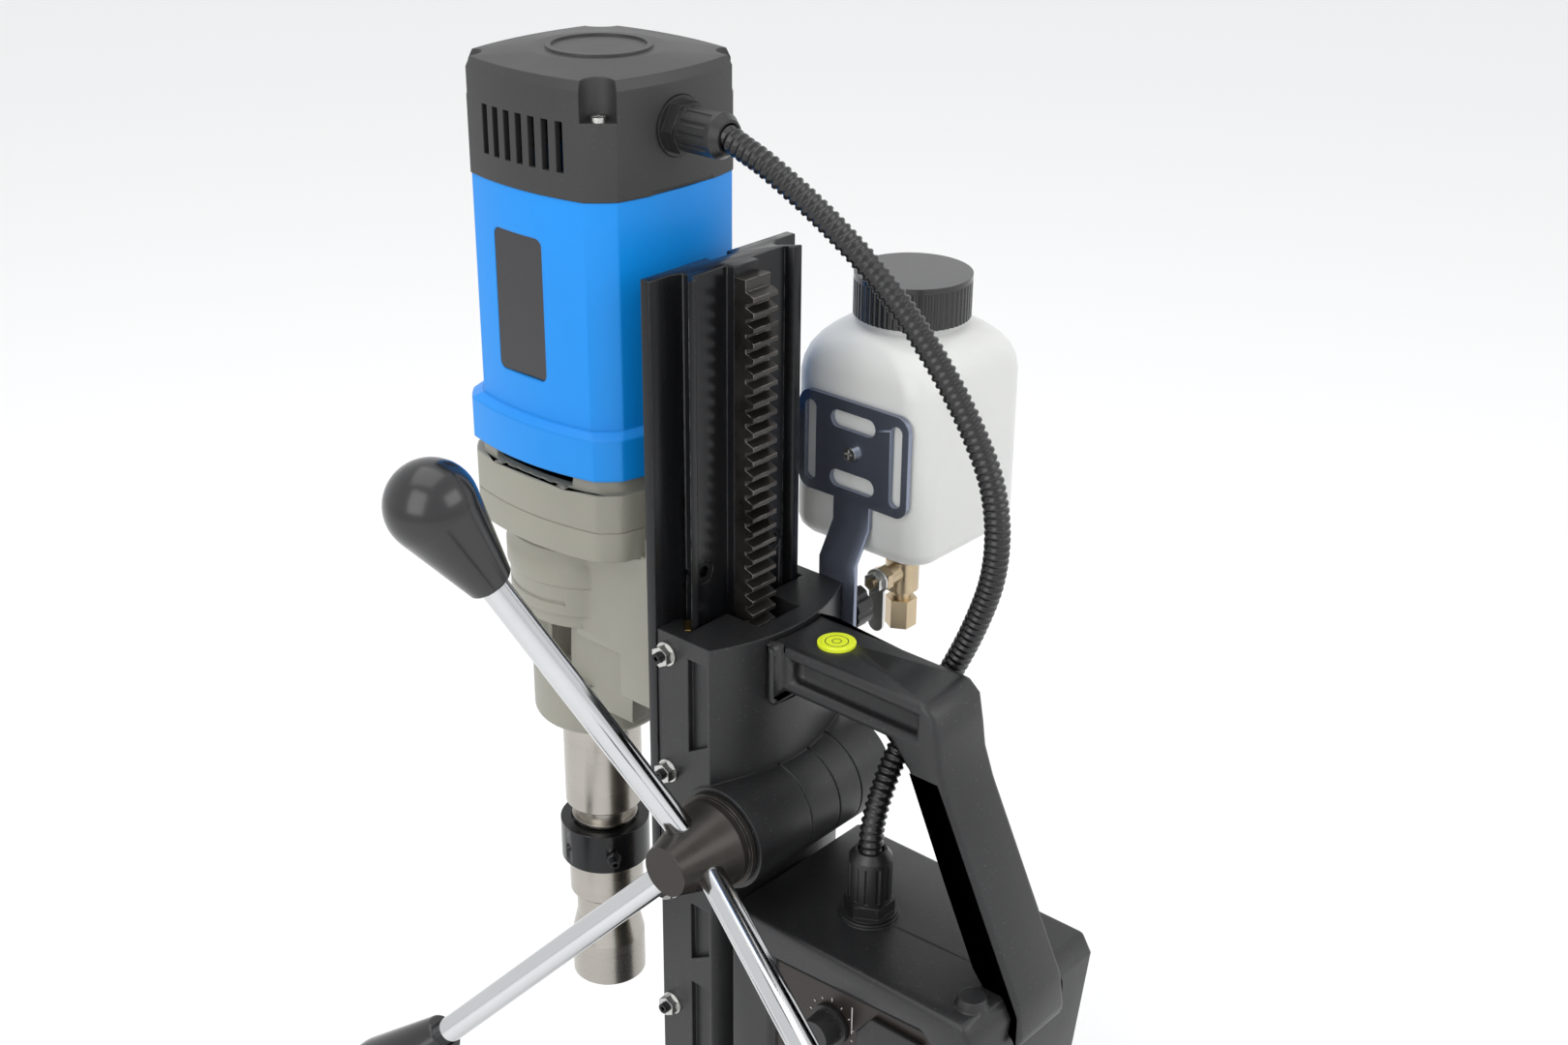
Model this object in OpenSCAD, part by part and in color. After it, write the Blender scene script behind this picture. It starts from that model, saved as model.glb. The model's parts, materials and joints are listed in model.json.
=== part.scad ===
// Magnetic drill press, raised. Origin: centre of the magnet's working face. +Z up, +Y to the rear,
// +X to the capstan side. Millimetres.

/* [Magnet base] */
// Length of the electromagnet, front to rear
magnet_l = 220; // [190:1:260]
// Width of the electromagnet
magnet_w = 110; // [110:1:130]
// Height of the electromagnet
magnet_h = 62; // [55:1:80]
// Width of the coil's slot
coil_slot_w = 12; // [8:1:14]
// Width of the steel pole inside the coil
pole_w = 56; // [54:1:60]

/* [Column] */
// Width of the column
column_w = 104; // [100:1:110]
// Height of the column above the magnet
column_h = 372; // [350:1:430]
// Depth of the column's flat sides
column_side_d = 36.5; // [34:0.5:45]
// How far the round back stands behind the flat sides
column_back_d = 14; // [12:0.5:16]
// Thickness of the brass gib strips
gib_t = 3.5; // [3:0.1:4.5]
// Radius of the gib set screws
gib_screw_r = 3; // [2.5:0.5:4]

/* [Slide and feed] */
// Length of the slide
slide_l = 330; // [300:1:360]
// Width of the slide's front flange
slide_w = 106; // [100:1:112]
// Thickness of the slide's front flange
flange_t = 6; // [5:0.5:8]
// Depth of the dovetail behind the flange
dovetail_d = 14.6; // [14:0.1:16]
// Half width of the dovetail at its tips
dovetail_tip = 41.5; // [40:0.5:42]
// Length of slide left in the column when it is raised
slide_grip = 144; // [135:1:170]
// Feed stroke downwards
feed_stroke = 140; // [100:1:150]
// Module of the rack and pinion
rack_module = 2.5; // [2:0.25:3]
// Teeth on the feed pinion
pinion_teeth = 16; // [14:1:16]
// Width of the rack
rack_w = 18; // [14:1:20]
// Height of the feed shaft's axis below the column's top
shaft_drop = 107; // [90:1:115]
// Outer radius of the feed shaft's boss
boss_r = 28.5; // [28:0.5:32]
// Radius of the feed shaft
shaft_r = 9; // [8:0.5:10]

/* [Capstan] */
// Radius of a capstan arm
arm_r = 7.2; // [6:0.1:8]
// Length of a capstan arm up to its grip
arm_l = 193; // [150:1:220]
// Outward lean of the arms, in degrees
arm_lean = 24.7; // [15:0.1:30]
// Turn of the first arm at rest, in degrees
arm_phase = 108.5; // [90:0.5:120]
// Length of a grip
grip_l = 72; // [60:1:80]
// Largest radius of a grip
grip_r = 22.5; // [18:0.5:25]

/* [Drill unit] */
// Distance from the slide's front face to the spindle axis
spindle_reach = 92.7; // [90:0.5:110]
// Distance from the spindle axis back to the motor axis
motor_set_back = 14; // [14:0.5:16]
// Corner radius of the motor housing, from its axis
motor_rc = 66; // [66:0.5:70]
// Half width of the motor housing across its faces
motor_hw = 57; // [57:0.5:60]
// Height of the motor housing
housing_h = 144; // [140:1:170]
// Height of the motor cap
cap_h = 62.5; // [60:0.5:75]
// Height of the gear case's square part
case_h = 38; // [36:1:45]
// Height of the ringed part under it
rings_h = 57.5; // [56:0.5:64]
// Radius of the ringed part
rings_r = 48; // [47:0.5:52]
// Height of the open neck
neck_h = 40.5; // [36:0.5:50]
// Height of the nose
nose_h = 33; // [30:1:40]
// Radius of the nose
nose_r = 38; // [36:0.5:42]

/* [Spindle and arbor] */
// Length of spindle below the nose
spindle_out = 63; // [50:1:75]
// Radius of the spindle below the nose
spindle_r = 22.7; // [21:0.1:25]
// Radius of the cutter bore, a 19.05 mm shank socket
cutter_r = 9.525; // [9.525:0.001:10]
// Depth of the cutter bore
cutter_depth = 47; // [35:1:50]
// Radius of the arbor's lower body
arbor_r = 22; // [20:0.5:24]
// Radius of the coolant ring
coolant_r = 26.3; // [25:0.1:30]

/* [Control box and handle] */
// Width of the control box
box_w = 106; // [102:1:110]
// Height of the control box above the magnet
box_h = 226; // [200:1:250]
// Length of the control box at its top
box_l = 157.5; // [150:0.5:170]
// Length of the control panel
panel_l = 104.5; // [104:0.5:108]
// Wall of the control box
box_wall = 3.5; // [2.5:0.5:5]
// Width of the carrying handle
handle_w = 40; // [32:1:44]
// Depth of the handle's side pockets
handle_pocket = 8; // [4:0.5:10]

/* [Coolant bottle] */
// Width and depth of the bottle
bottle_w = 92; // [80:1:100]
// Height of the bottle to its shoulder
bottle_h = 123; // [110:1:140]
// Wall of the bottle
bottle_wall = 1.6; // [1.2:0.1:2.5]
// Radius of the bottle's cap
bottle_cap_r = 31.5; // [28:0.5:35]

/* [Hidden] */
$fn = 72;

// running gap between a shaft and its hole, gap between sliding flats, gap for loose parts
run_gap = 0.06;
slide_gap = 0.15;
loose_gap = 0.3;

// heights
column_top = magnet_h + column_h;
slide_z0 = column_top - slide_grip;
slide_top = slide_z0 + slide_l;
shaft_z = column_top - shaft_drop;
channel_z0 = slide_z0 - feed_stroke - 10;

// places along Y, from the column's front face backwards
column_y0 = -magnet_l / 2;
column_side_y = column_y0 + column_side_d;
column_back_y = column_side_y + column_back_d;
back_arc_r = (pow(column_w / 2, 2) + pow(column_back_d, 2)) / (2 * column_back_d);
flange_y = column_y0 - slide_gap;
slide_y0 = flange_y - flange_t;
slide_back_y = flange_y + dovetail_d - 4.9;
land_y = flange_y + dovetail_d;
rack_root = 7.4;
pinion_r = rack_module * pinion_teeth / 2;
shaft_y = land_y + rack_root + 1.25 * rack_module + pinion_r;
pinion_l = rack_w + 2;
pinion_room = pinion_r + rack_module + 0.8;

// the drill unit's axes and levels, from the slide's top
spindle_y = slide_y0 - spindle_reach;
motor_y = spindle_y + motor_set_back;
case_z0 = slide_top - 161;
case_mid = case_z0 + 17;
case_top = case_z0 + case_h;
housing_z0 = case_top + 8.5;
housing_z1 = housing_z0 + housing_h;
cap_top = housing_z1 + cap_h;
rings_z0 = case_z0 - rings_h;
nose_z1 = rings_z0 - neck_h;
nose_z0 = nose_z1 - nose_h;
sleeve_z0 = nose_z0 - spindle_out;
flare_h = 25;
shell_t = 3.5;
pad_w = 72;
pad_z0 = nose_z1 + 9;
pad_z1 = case_z0 + 12;
screw_x = 26.5;

// the gear train: a pinion on the armature, a layshaft, a gear on the spindle
fine_module = 0.75;
fine_small = 8;
fine_large = 64;
coarse_module = 1.5;
coarse_small = 9;
coarse_large = 33;
d_motor = fine_module * (fine_small + fine_large) / 2;
d_spindle = coarse_module * (coarse_small + coarse_large) / 2;
lay_dy = (d_spindle * d_spindle - d_motor * d_motor - motor_set_back * motor_set_back)
    / (2 * motor_set_back);
lay_x = -sqrt(d_motor * d_motor - lay_dy * lay_dy);
lay_y = motor_y + lay_dy;
lay_r = 4.5;
lay_z0 = case_z0 - 38;
lay_z1 = case_top - 5;
fine_z = case_z0 + 7;
coarse_z = case_z0 - 19;

// the arbor's levels below the spindle
ring_z1 = sleeve_z0 - 12;
ring_z0 = ring_z1 - 25;
neck_z1 = ring_z0 - 27.3;
neck_z0 = neck_z1 - 34.2;
arbor_z0 = neck_z0 - 23.8;
arbor_neck_r = 16;

// the control box
box_y0 = column_back_y + 1.5;
box_y1 = box_y0 + box_l;
box_top = magnet_h + box_h;
box_lean = 22;
panel_x = box_w / 2 - 4;
panel_t = 2;
panel_y1 = box_y1 - 23;
panel_y0 = panel_y1 - panel_l;
panel_z0 = box_top - 125;
panel_z1 = box_top - 23;
knob_y = panel_y0 + 37;
knob_z = panel_z1 - 21;
switch_y = panel_y0 + 76;
motor_switch_z = panel_z1 - 40;
magnet_switch_z = panel_z1 - 82;
magnet_switch_y = panel_y0 + 30;
rocker_w = 24;
rocker_h = 30;

// the handle
handle_z1 = column_top - 2;
handle_bar_h = 27;
handle_y0 = column_back_y + 0.3;
stud_z = handle_z1 - 14;
foot_boss_l = 12;
foot_screw_l = 30;
foot_screw_x = handle_w / 2 - handle_pocket - 5;
foot_screw_y = box_y1 - 17;
level_y = column_back_y + 26;
level_r = 10;

// glands and conduit
gland_hex_r = 13.5;
gland_nut_r = 11.4;
conduit_r = 6.5;
box_gland_x = 9;
box_gland_y = 0;
motor_gland_x = 3;
motor_gland_z = cap_top - 31;
motor_back_y = motor_y + motor_hw;
CONDUIT = [[3, -118, 681], [3, -106, 681], [3, -94, 677], [2, -80, 671], [-2, -56, 656],
    [-6, -35, 640], [-12, -18, 622], [-18, -2, 601], [-24, 13, 577], [-29, 25, 553],
    [-33, 33, 530], [-36, 36, 504], [-38, 33, 476], [-38, 24, 447], [-35, 13, 419],
    [-27, 3, 395], [-14, -3, 374], [0, -2, 355], [7, -1, 340], [9, 0, 326], [9, 0, 314]];

// the bottle and its bracket
strap_t = 3;
strap_w = 25;
strap_x = -column_w / 2;
strap_y = column_side_y - 4;
plate_w = 74;
plate_h = 57;
plate_x = strap_x - 11;
plate_z = column_top + 70.5;
knob_drop = 21;
bottle_x = plate_x - strap_t - bottle_w / 2 - 0.2;
bottle_y = strap_y - 1.5;
bottle_z0 = plate_z - plate_h / 2 - 33;
bottle_shoulder = bottle_z0 + bottle_h;
neck_top = bottle_shoulder + 22;
cap_z0 = bottle_shoulder + 4;
cap_z1 = bottle_shoulder + 27;
valve_z = bottle_z0 - 27;

// ---------------------------------------------------------------- shared shapes

// a cylinder from one height to another
module zcyl(r, z0, z1, x = 0, y = 0) {
    translate([x, y, z0]) cylinder(r = r, h = z1 - z0);
}

// a ring from one height to another
module zring(ro, ri, z0, z1, x = 0, y = 0) {
    difference() {
        zcyl(ro, z0, z1, x, y);
        zcyl(ri, z0 - 1, z1 + 1, x, y);
    }
}

// a cylinder along X
module xcyl(r, x0, x1, y, z) {
    translate([x0, y, z]) rotate([0, 90, 0]) cylinder(r = r, h = x1 - x0);
}

// a cylinder along Y
module ycyl(r, y0, y1, x, z) {
    translate([x, y0, z]) rotate([-90, 0, 0]) cylinder(r = r, h = y1 - y0);
}

// a box given by its two corners
module block(a, b) {
    translate(a) cube(b - a);
}

// a rectangle with true round corners, centred
module round_rect(w, h, r) {
    square([w - 2 * r, h], center = true);
    square([w, h - 2 * r], center = true);
    for (sx = [-1, 1], sy = [-1, 1])
        translate([sx * (w / 2 - r), sy * (h / 2 - r)]) circle(r);
}

// the motor's outline: four bulged faces cut by a circle at the corners
module motor_outline(rc, hw) {
    bulge = 170;
    intersection() {
        circle(rc);
        translate([hw - bulge, 0]) circle(bulge, $fn = 180);
        translate([bulge - hw, 0]) circle(bulge, $fn = 180);
        translate([0, hw - bulge]) circle(bulge, $fn = 180);
        translate([0, bulge - hw]) circle(bulge, $fn = 180);
    }
}

module motor_slab(rc, hw, z0, z1) {
    translate([0, motor_y, z0]) linear_extrude(z1 - z0) motor_outline(rc, hw);
}

// a socket head screw along +Z with its head's top at z = 0
module socket_screw(r, l) {
    head_h = 2 * r;
    difference() {
        translate([0, 0, -head_h]) cylinder(r = 1.65 * r, h = head_h);
        translate([0, 0, -r]) cylinder(r = r, h = r + 1, $fn = 6);
    }
    translate([0, 0, -head_h - l]) cylinder(r = r, h = l + 0.01);
}

// a pan head screw along +Z with its seat at z = 0
module pan_screw(r, l) {
    difference() {
        cylinder(r = 1.9 * r, h = 1.3 * r);
        for (a = [0, 90]) rotate(a) translate([-1.3 * r, -0.25 * r, 0.6 * r]) cube([2.6 * r, 0.5 * r, r]);
    }
    translate([0, 0, -l]) cylinder(r = r, h = l + 0.01);
}

// the angle that an involute has turned through at radius r
function inv_deg(rb, r) = r <= rb ? 0 : tan(acos(rb / r)) * 180 / PI - acos(rb / r);

// an involute gear's outline, one tooth centred on +X
function gear_points(m, n, add, ded, slack) =
    let (r = m * n / 2, rb = r * cos(20), half = (90 - slack) / n + inv_deg(rb, r),
        rr = r - ded * m, rt = r + add * m,
        radii = [rr, max(rb, rr + 0.1), (max(rb, rr) + r) / 2, r, (r + rt) / 2, rt])
    [for (k = [0 : n - 1]) for (s = [-1, 1]) for (i = [0 : 5])
        let (q = s < 0 ? radii[i] : radii[5 - i], a = k * 360 / n + s * (half - inv_deg(rb, q)))
        [q * cos(a), q * sin(a)]];

module gear(m, n, h, add = 0.8, ded = 1.2, slack = 9) {
    linear_extrude(h) polygon(gear_points(m, n, add, ded, slack));
}

// ---------------------------------------------------------------- magnet

module coil_slot(gap, z0, z1) {
    inner_l = magnet_l - 2 * coil_slot_w - 44;
    translate([0, 0, z0]) linear_extrude(z1 - z0) difference() {
        round_rect(pole_w + 2 * coil_slot_w - 2 * gap, inner_l + 2 * coil_slot_w - 2 * gap, 8);
        round_rect(pole_w + 2 * gap, inner_l + 2 * gap, 3);
    }
}

function bolt_places() = [[-18, column_y0 + 12], [18, column_y0 + 12], [-18, column_y0 + 43.5],
    [18, column_y0 + 43.5], [0, box_y0 + 45], [0, box_y0 + 115]];

module magnet_body() {
    color([0.12, 0.12, 0.12]) difference() {
        linear_extrude(magnet_h) round_rect(magnet_w, magnet_l, 3);
        coil_slot(0, -1, 46);
        for (p = bolt_places()) {
            zcyl(7.2, -1, 11, p[0], p[1]);
            zcyl(4, 10, magnet_h + 1, p[0], p[1]);
        }
    }
}

module magnet_coil() {
    color([0.72, 0.42, 0.2]) coil_slot(0.4, 8, 45.8);
}

module magnet_potting() {
    color([0.08, 0.08, 0.09]) coil_slot(0, 0.4, 8);
}

module magnet_bolts() {
    color("silver") for (p = bolt_places())
        translate([p[0], p[1], 2.8]) rotate([180, 0, 0]) socket_screw(4, magnet_h + 5 - 10.8);
}

// ---------------------------------------------------------------- column

// the slide's dovetail as a half outline, x outwards and y back from the flange
function dovetail_half() = [[38, 0], [dovetail_tip - 9, 2.6], [dovetail_tip - 9, dovetail_d - 9],
    [dovetail_tip, dovetail_d], [dovetail_tip - 5.5, dovetail_d],
    [dovetail_tip - 7, dovetail_d - 3], [dovetail_tip - 8, dovetail_d - 4.9]];

function mirrored(p) = concat(p, [for (i = [len(p) - 1 : -1 : 0]) [-p[i][0], p[i][1]]]);

// the gib's offsets from the dovetail's flank, inner and outer
gib_in = slide_gap * 0.7071;
gib_out = (slide_gap + gib_t) * 0.7071;
jaw_out = (slide_gap + gib_t + 0.15) * 0.7071;
flank_a = [dovetail_tip - 8.6, dovetail_d - 8.6];
flank_b = [dovetail_tip - 0.6, dovetail_d - 0.6];
gib_screw_y = flange_y + 7.1;

module channel_outline() {
    polygon(mirrored([[39, -1], [39, 0], [flank_a[0] + jaw_out - 0.3, flank_a[1] - jaw_out - 0.3],
        [dovetail_tip + jaw_out, dovetail_d - jaw_out], [dovetail_tip + jaw_out, dovetail_d + 1],
        [rack_w / 2 + 7, dovetail_d + 1], [rack_w / 2 + 7, column_side_d + 1.5]]));
}

// heights of the gib screws below the column's top
GIB_DROPS = [12, 82, 156, 234, 300];

// side pockets: drop of the top edge, height
POCKETS = [[10, 55], [160, 37], [212, 60], [288, 60]];

module side_pocket(drop, h) {
    z1 = column_top - drop;
    translate([column_w / 2, 0, 0]) rotate([90, 0, 90]) translate([0, 0, -3.5])
        linear_extrude(4) polygon([[column_side_y - 15, z1], [column_side_y - 1.5, z1],
            [column_side_y - 1.5, z1 - h + 8], [column_side_y - 15, z1 - h]]);
}

module column() {
    color([0.1, 0.1, 0.1]) difference() {
        union() {
            translate([0, 0, magnet_h]) linear_extrude(column_h) intersection() {
                translate([-column_w / 2, column_y0]) square([column_w, column_side_d + column_back_d]);
                translate([0, column_back_y - back_arc_r]) circle(back_arc_r, $fn = 180);
            }
            xcyl(boss_r, -column_w / 2 - 1.5, column_w / 2 + 1.5, shaft_y, shaft_z);
        }
        translate([0, flange_y, channel_z0]) linear_extrude(column_h) channel_outline();
        xcyl(pinion_room, -pinion_l / 2 - 1, pinion_l / 2 + 1, shaft_y, shaft_z);
        xcyl(shaft_r + 4, -column_w, column_w, shaft_y, shaft_z);
        for (s = [0, 1], p = POCKETS) mirror([s, 0, 0]) side_pocket(p[0], p[1]);
        for (d = GIB_DROPS)
            xcyl(gib_screw_r, 30, column_w, gib_screw_y, column_top - d);
        for (p = bolt_places()) if (p[1] < column_side_y + 10)
            zcyl(4, magnet_h - 1, magnet_h + 16, p[0], p[1]);
        ycyl(3, column_back_y - 8.2, column_back_y + 1, 0, stud_z);
        xcyl(2.5, strap_x - 1, strap_x + 9, strap_y, column_top - knob_drop);
        // seams round the rear half of the boss
        for (x = [13, -10, -28]) translate([x, shaft_y, shaft_z])
            rotate([0, 90, 0]) translate([0, 0, -0.6]) difference() {
                cylinder(r = boss_r + 1, h = 1.2);
                translate([0, 0, -1]) cylinder(r = boss_r - 0.8, h = 4);
                translate([-50, -100, -1]) cube([100, 92, 4]);
            }
    }
}

module gib_strips() {
    color("goldenrod") for (s = [0, 1]) mirror([s, 0, 0])
        translate([0, flange_y, channel_z0 + 2]) linear_extrude(column_top - channel_z0 - 2.5)
            polygon([flank_a + [gib_in, -gib_in], flank_b + [gib_in, -gib_in],
                flank_b + [gib_out, -gib_out], flank_a + [gib_out, -gib_out]]);
}

module gib_screws() {
    tip_x = flank_a[0] + gib_out + 7.1 - (flank_a[1] - gib_out) + 0.2;
    color([0.2, 0.2, 0.2]) for (d = GIB_DROPS) translate([tip_x, gib_screw_y, column_top - d])
        rotate([0, 90, 0]) difference() {
            union() {
                cylinder(r1 = 0.3, r2 = gib_screw_r - 0.1, h = gib_screw_r);
                translate([0, 0, gib_screw_r - 0.01])
                    cylinder(r = gib_screw_r - 0.1, h = 60.5 - tip_x - gib_screw_r);
            }
            translate([0, 0, 58.5 - tip_x]) cylinder(r = 1.5, h = 4, $fn = 6);
        }
}

module gib_nuts() {
    color([0.3, 0.3, 0.3]) for (d = GIB_DROPS) {
        z = column_top - d;
        difference() {
            union() {
                xcyl(6.5, column_w / 2, column_w / 2 + 1.4, gib_screw_y, z);
                translate([column_w / 2 + 1.4, gib_screw_y, z]) rotate([0, 90, 0])
                    cylinder(r = 5.77, h = 4.6, $fn = 6);
            }
            xcyl(gib_screw_r, column_w / 2 - 1, column_w, gib_screw_y, z);
        }
    }
}

module shaft_bushes() {
    color("darkgoldenrod") for (s = [0, 1]) mirror([s, 0, 0]) difference() {
        xcyl(shaft_r + 4, pinion_l / 2 + 1.4, column_w / 2 + 1, shaft_y, shaft_z);
        xcyl(shaft_r + run_gap, 0, column_w, shaft_y, shaft_z);
    }
}

// ---------------------------------------------------------------- control box

module box_side(inset) {
    polygon([[box_y0 + inset, magnet_h], [box_y1 - box_lean - inset, magnet_h],
        [box_y1 - inset, box_top - 10], [box_y1 - 6 - inset, box_top - inset],
        [box_y0 + inset, box_top - inset]]);
}

module box_slab(inset, x0, x1) {
    translate([x0, 0, 0]) rotate([90, 0, 90]) linear_extrude(x1 - x0) box_side(inset);
}

module panel_outline(grow) {
    polygon([[panel_y0 - grow, panel_z0 - grow], [panel_y1 - 8, panel_z0 - grow],
        [panel_y1 + grow, panel_z0 + 10], [panel_y1 + grow, panel_z1 - 2],
        [panel_y1 - 8, panel_z1 + 5 + grow], [panel_y0 - grow, panel_z1 + grow]]);
}

module control_box() {
    color([0.09, 0.09, 0.1]) difference() {
        union() {
            box_slab(0, -box_w / 2, box_w / 2);
            zcyl(16, box_top - 4, box_top + 2, box_gland_x, box_gland_y);
            translate([34, box_y1 - 14, box_top - 3]) cylinder(r1 = 10, r2 = 7, h = 8);
        }
        difference() {
            translate([0, 0, -0.01]) box_slab(box_wall, -box_w / 2 + box_wall, panel_x - panel_t - 4);
            for (s = [-1, 1]) translate([s * foot_screw_x, foot_screw_y, box_top - foot_boss_l])
                cylinder(r = 6, h = foot_boss_l);
        }
        translate([panel_x - panel_t, 0, 0]) rotate([90, 0, 90]) linear_extrude(20) panel_outline(0);
        translate([panel_x, 0, 0]) rotate([90, 0, 90]) linear_extrude(20) panel_outline(3);
        translate([panel_x - 20, 0, 0]) rotate([90, 0, 90]) linear_extrude(30)
            panel_windows();
        zcyl(8.2, box_top - 20, box_top + 3, box_gland_x, box_gland_y);
        ycyl(8.2, box_y1 - 30, box_y1 + 10, 0, magnet_h + 30);
        for (s = [-1, 1])
            zcyl(2.6, box_top - foot_boss_l - 1, box_top + 1, s * foot_screw_x, foot_screw_y);
        for (p = bolt_places()) if (p[1] > column_side_y + 10)
            zcyl(4, magnet_h - 1, magnet_h + 5, p[0], p[1]);
    }
}

// openings behind the panel for the knob's shaft and the two switches
module panel_windows() {
    translate([knob_y, knob_z]) circle(5);
    translate([switch_y, motor_switch_z]) square([rocker_w + 2, rocker_h + 2], center = true);
    translate([magnet_switch_y, magnet_switch_z]) square([rocker_w + 2, rocker_h + 2], center = true);
}

module box_floor() {
    color([0.3, 0.3, 0.32]) difference() {
        translate([-box_w / 2 + box_wall + 0.5, box_y0 + box_wall + 0.5, magnet_h])
            cube([box_w - 2 * box_wall - 8, box_l - box_lean - 14, 2]);
        for (p = bolt_places()) zcyl(4, magnet_h - 1, magnet_h + 4, p[0], p[1]);
    }
}

module control_panel() {
    color([0.3, 0.28, 0.26]) difference() {
        translate([panel_x - panel_t, 0, 0]) rotate([90, 0, 90]) linear_extrude(panel_t) panel_outline(-0.2);
        xcyl(3.6, panel_x - 10, panel_x + 10, knob_y, knob_z);
        translate([panel_x - 10, 0, 0]) rotate([90, 0, 90]) linear_extrude(20) {
            translate([switch_y, motor_switch_z]) square([rocker_w + 0.8, rocker_h + 0.8], center = true);
            translate([magnet_switch_y, magnet_switch_z])
                square([rocker_w + 0.8, rocker_h + 0.8], center = true);
        }
    }
}

module switch_guard() {
    color([0.05, 0.05, 0.06]) translate([panel_x, 0, 0]) rotate([90, 0, 90]) linear_extrude(3.6)
        difference() {
            polygon([[switch_y - 20, motor_switch_z - 22], [switch_y + 20, motor_switch_z - 22],
                [switch_y + 20, panel_z1 - 2], [switch_y - 11, panel_z1 - 2],
                [switch_y - 20, panel_z1 - 14]]);
            translate([switch_y, motor_switch_z]) square([rocker_w + 0.8, rocker_h + 0.8], center = true);
        }
}

module circuit_board() {
    board_x = 12;
    color("darkgreen") {
        block([board_x, box_y0 + 16, magnet_h + 40], [board_x + 1.6, box_y1 - 40, box_top - 45]);
        block([board_x - 14, box_y0 + 30, magnet_h + 60], [board_x, box_y0 + 60, magnet_h + 85]);
        block([board_x - 10, box_y0 + 70, magnet_h + 60], [board_x, box_y0 + 85, magnet_h + 110]);
        for (i = [0 : 2]) xcyl(6, board_x - 22, board_x, box_y0 + 38 + 18 * i, box_top - 70);
        xcyl(8, board_x + 1.6, panel_x - panel_t - 4.5, knob_y, knob_z);
    }
    color("silver") xcyl(3, panel_x - panel_t - 4.6, panel_x + 8, knob_y, knob_z);
}

// ---------------------------------------------------------------- handle and level

// the handle's outline seen from the side, as [y, z]
module handle_outline(inset) {
    foot_y = box_y1 + 6;
    z1 = handle_z1;
    zb = box_top;
    polygon([[handle_y0 - 6, z1 - inset], [handle_y0 + 96, z1 - inset],
        [handle_y0 + 103, z1 - 6 - inset], [handle_y0 + 106 - inset, z1 - 21],
        [handle_y0 + 108 - inset, z1 - 34], [handle_y0 + 114 - inset, z1 - 50],
        [foot_y - 3 - inset, zb - 2], [foot_y - inset, zb - 20], [foot_y - 0.5, zb - 27],
        [box_y1 + 0.3, zb - 27], [box_y1 + 0.3, zb - 9.8], [box_y1 - 5.8, zb + 0.2],
        [box_y1 - 21 + inset, zb + 0.2], [handle_y0 + 114 + inset, z1 - 92],
        [handle_y0 + 88 + inset, z1 - 40], [handle_y0 + 77, z1 - handle_bar_h + inset],
        [handle_y0 - 6, z1 - handle_bar_h + inset]]);
}

module carrying_handle() {
    color([0.09, 0.09, 0.09]) difference() {
        union() {
            translate([-handle_w / 2, 0, 0]) rotate([90, 0, 90]) linear_extrude(handle_w)
                handle_outline(0);
            block([-handle_w / 2 - 3, handle_y0 - 6, handle_z1 - 37],
                [handle_w / 2 + 3, handle_y0 + 4, handle_z1 - 2]);
        }
        zcyl(back_arc_r + 0.1, 0, column_top + 10, 0, column_back_y - back_arc_r, $fn = 180);
        for (s = [0, 1]) mirror([s, 0, 0]) translate([handle_w / 2 - handle_pocket, 0, 0])
            rotate([90, 0, 90]) linear_extrude(20) {
                polygon([[handle_y0 + 12, handle_z1 - 8], [handle_y0 + 92, handle_z1 - 8],
                    [handle_y0 + 92, handle_z1 - 20], [handle_y0 + 12, handle_z1 - 20]]);
                polygon([[handle_y0 + 95, handle_z1 - 44], [handle_y0 + 105, handle_z1 - 44],
                    [handle_y0 + 128.5, handle_z1 - 92], [box_y1 - 10.5, box_top + 9],
                    [box_y1 - 22, box_top + 11], [handle_y0 + 117, handle_z1 - 92]]);
            }
        zcyl(level_r + 0.05, handle_z1 - 5, handle_z1 + 1, 0, level_y);
        ycyl(3, column_back_y - 5, column_back_y + 18.2, 0, stud_z);
        for (s = [-1, 1]) zcyl(2.6, box_top - 1, box_top - foot_boss_l + foot_screw_l + 2,
            s * foot_screw_x, foot_screw_y);
    }
}

module handle_screws() {
    color([0.2, 0.2, 0.2]) {
        for (s = [-1, 1]) translate([s * foot_screw_x, foot_screw_y, box_top - foot_boss_l - 5])
            rotate([180, 0, 0]) socket_screw(2.5, foot_screw_l);
        ycyl(3, column_back_y - 8, column_back_y + 18, 0, stud_z);
    }
}

module bubble_level() {
    color([0.85, 0.95, 0.2]) {
        zcyl(level_r, handle_z1 - 5, handle_z1 + 1.2, 0, level_y);
        zcyl(level_r - 2, handle_z1 + 1.1, handle_z1 + 1.6, 0, level_y);
    }
}

// ---------------------------------------------------------------- glands and conduit

// a conduit gland standing on z = 0: seat ring, hexagon, fluted dome nut
module gland(l) {
    difference() {
        union() {
            cylinder(r = 15, h = 1.5);
            cylinder(r = gland_hex_r, h = 8, $fn = 6);
            translate([0, 0, 7.9]) cylinder(r = gland_nut_r, h = l - 12);
            translate([0, 0, l - 4.2]) cylinder(r1 = gland_nut_r, r2 = gland_nut_r - 3, h = 4.2);
            translate([0, 0, -12]) cylinder(r = 8, h = 12.1);
        }
        translate([0, 0, -13]) cylinder(r = 5, h = l);
        translate([0, 0, l - 14.2]) cylinder(r = conduit_r + 0.5, h = 20);
        for (a = [0 : 30 : 330]) rotate(a) translate([gland_nut_r + 0.9, 0, 10])
            cylinder(r = 1.6, h = l - 17);
    }
}

module box_gland() {
    color([0.07, 0.07, 0.07]) translate([box_gland_x, box_gland_y, box_top + 2]) gland(38);
}

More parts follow.
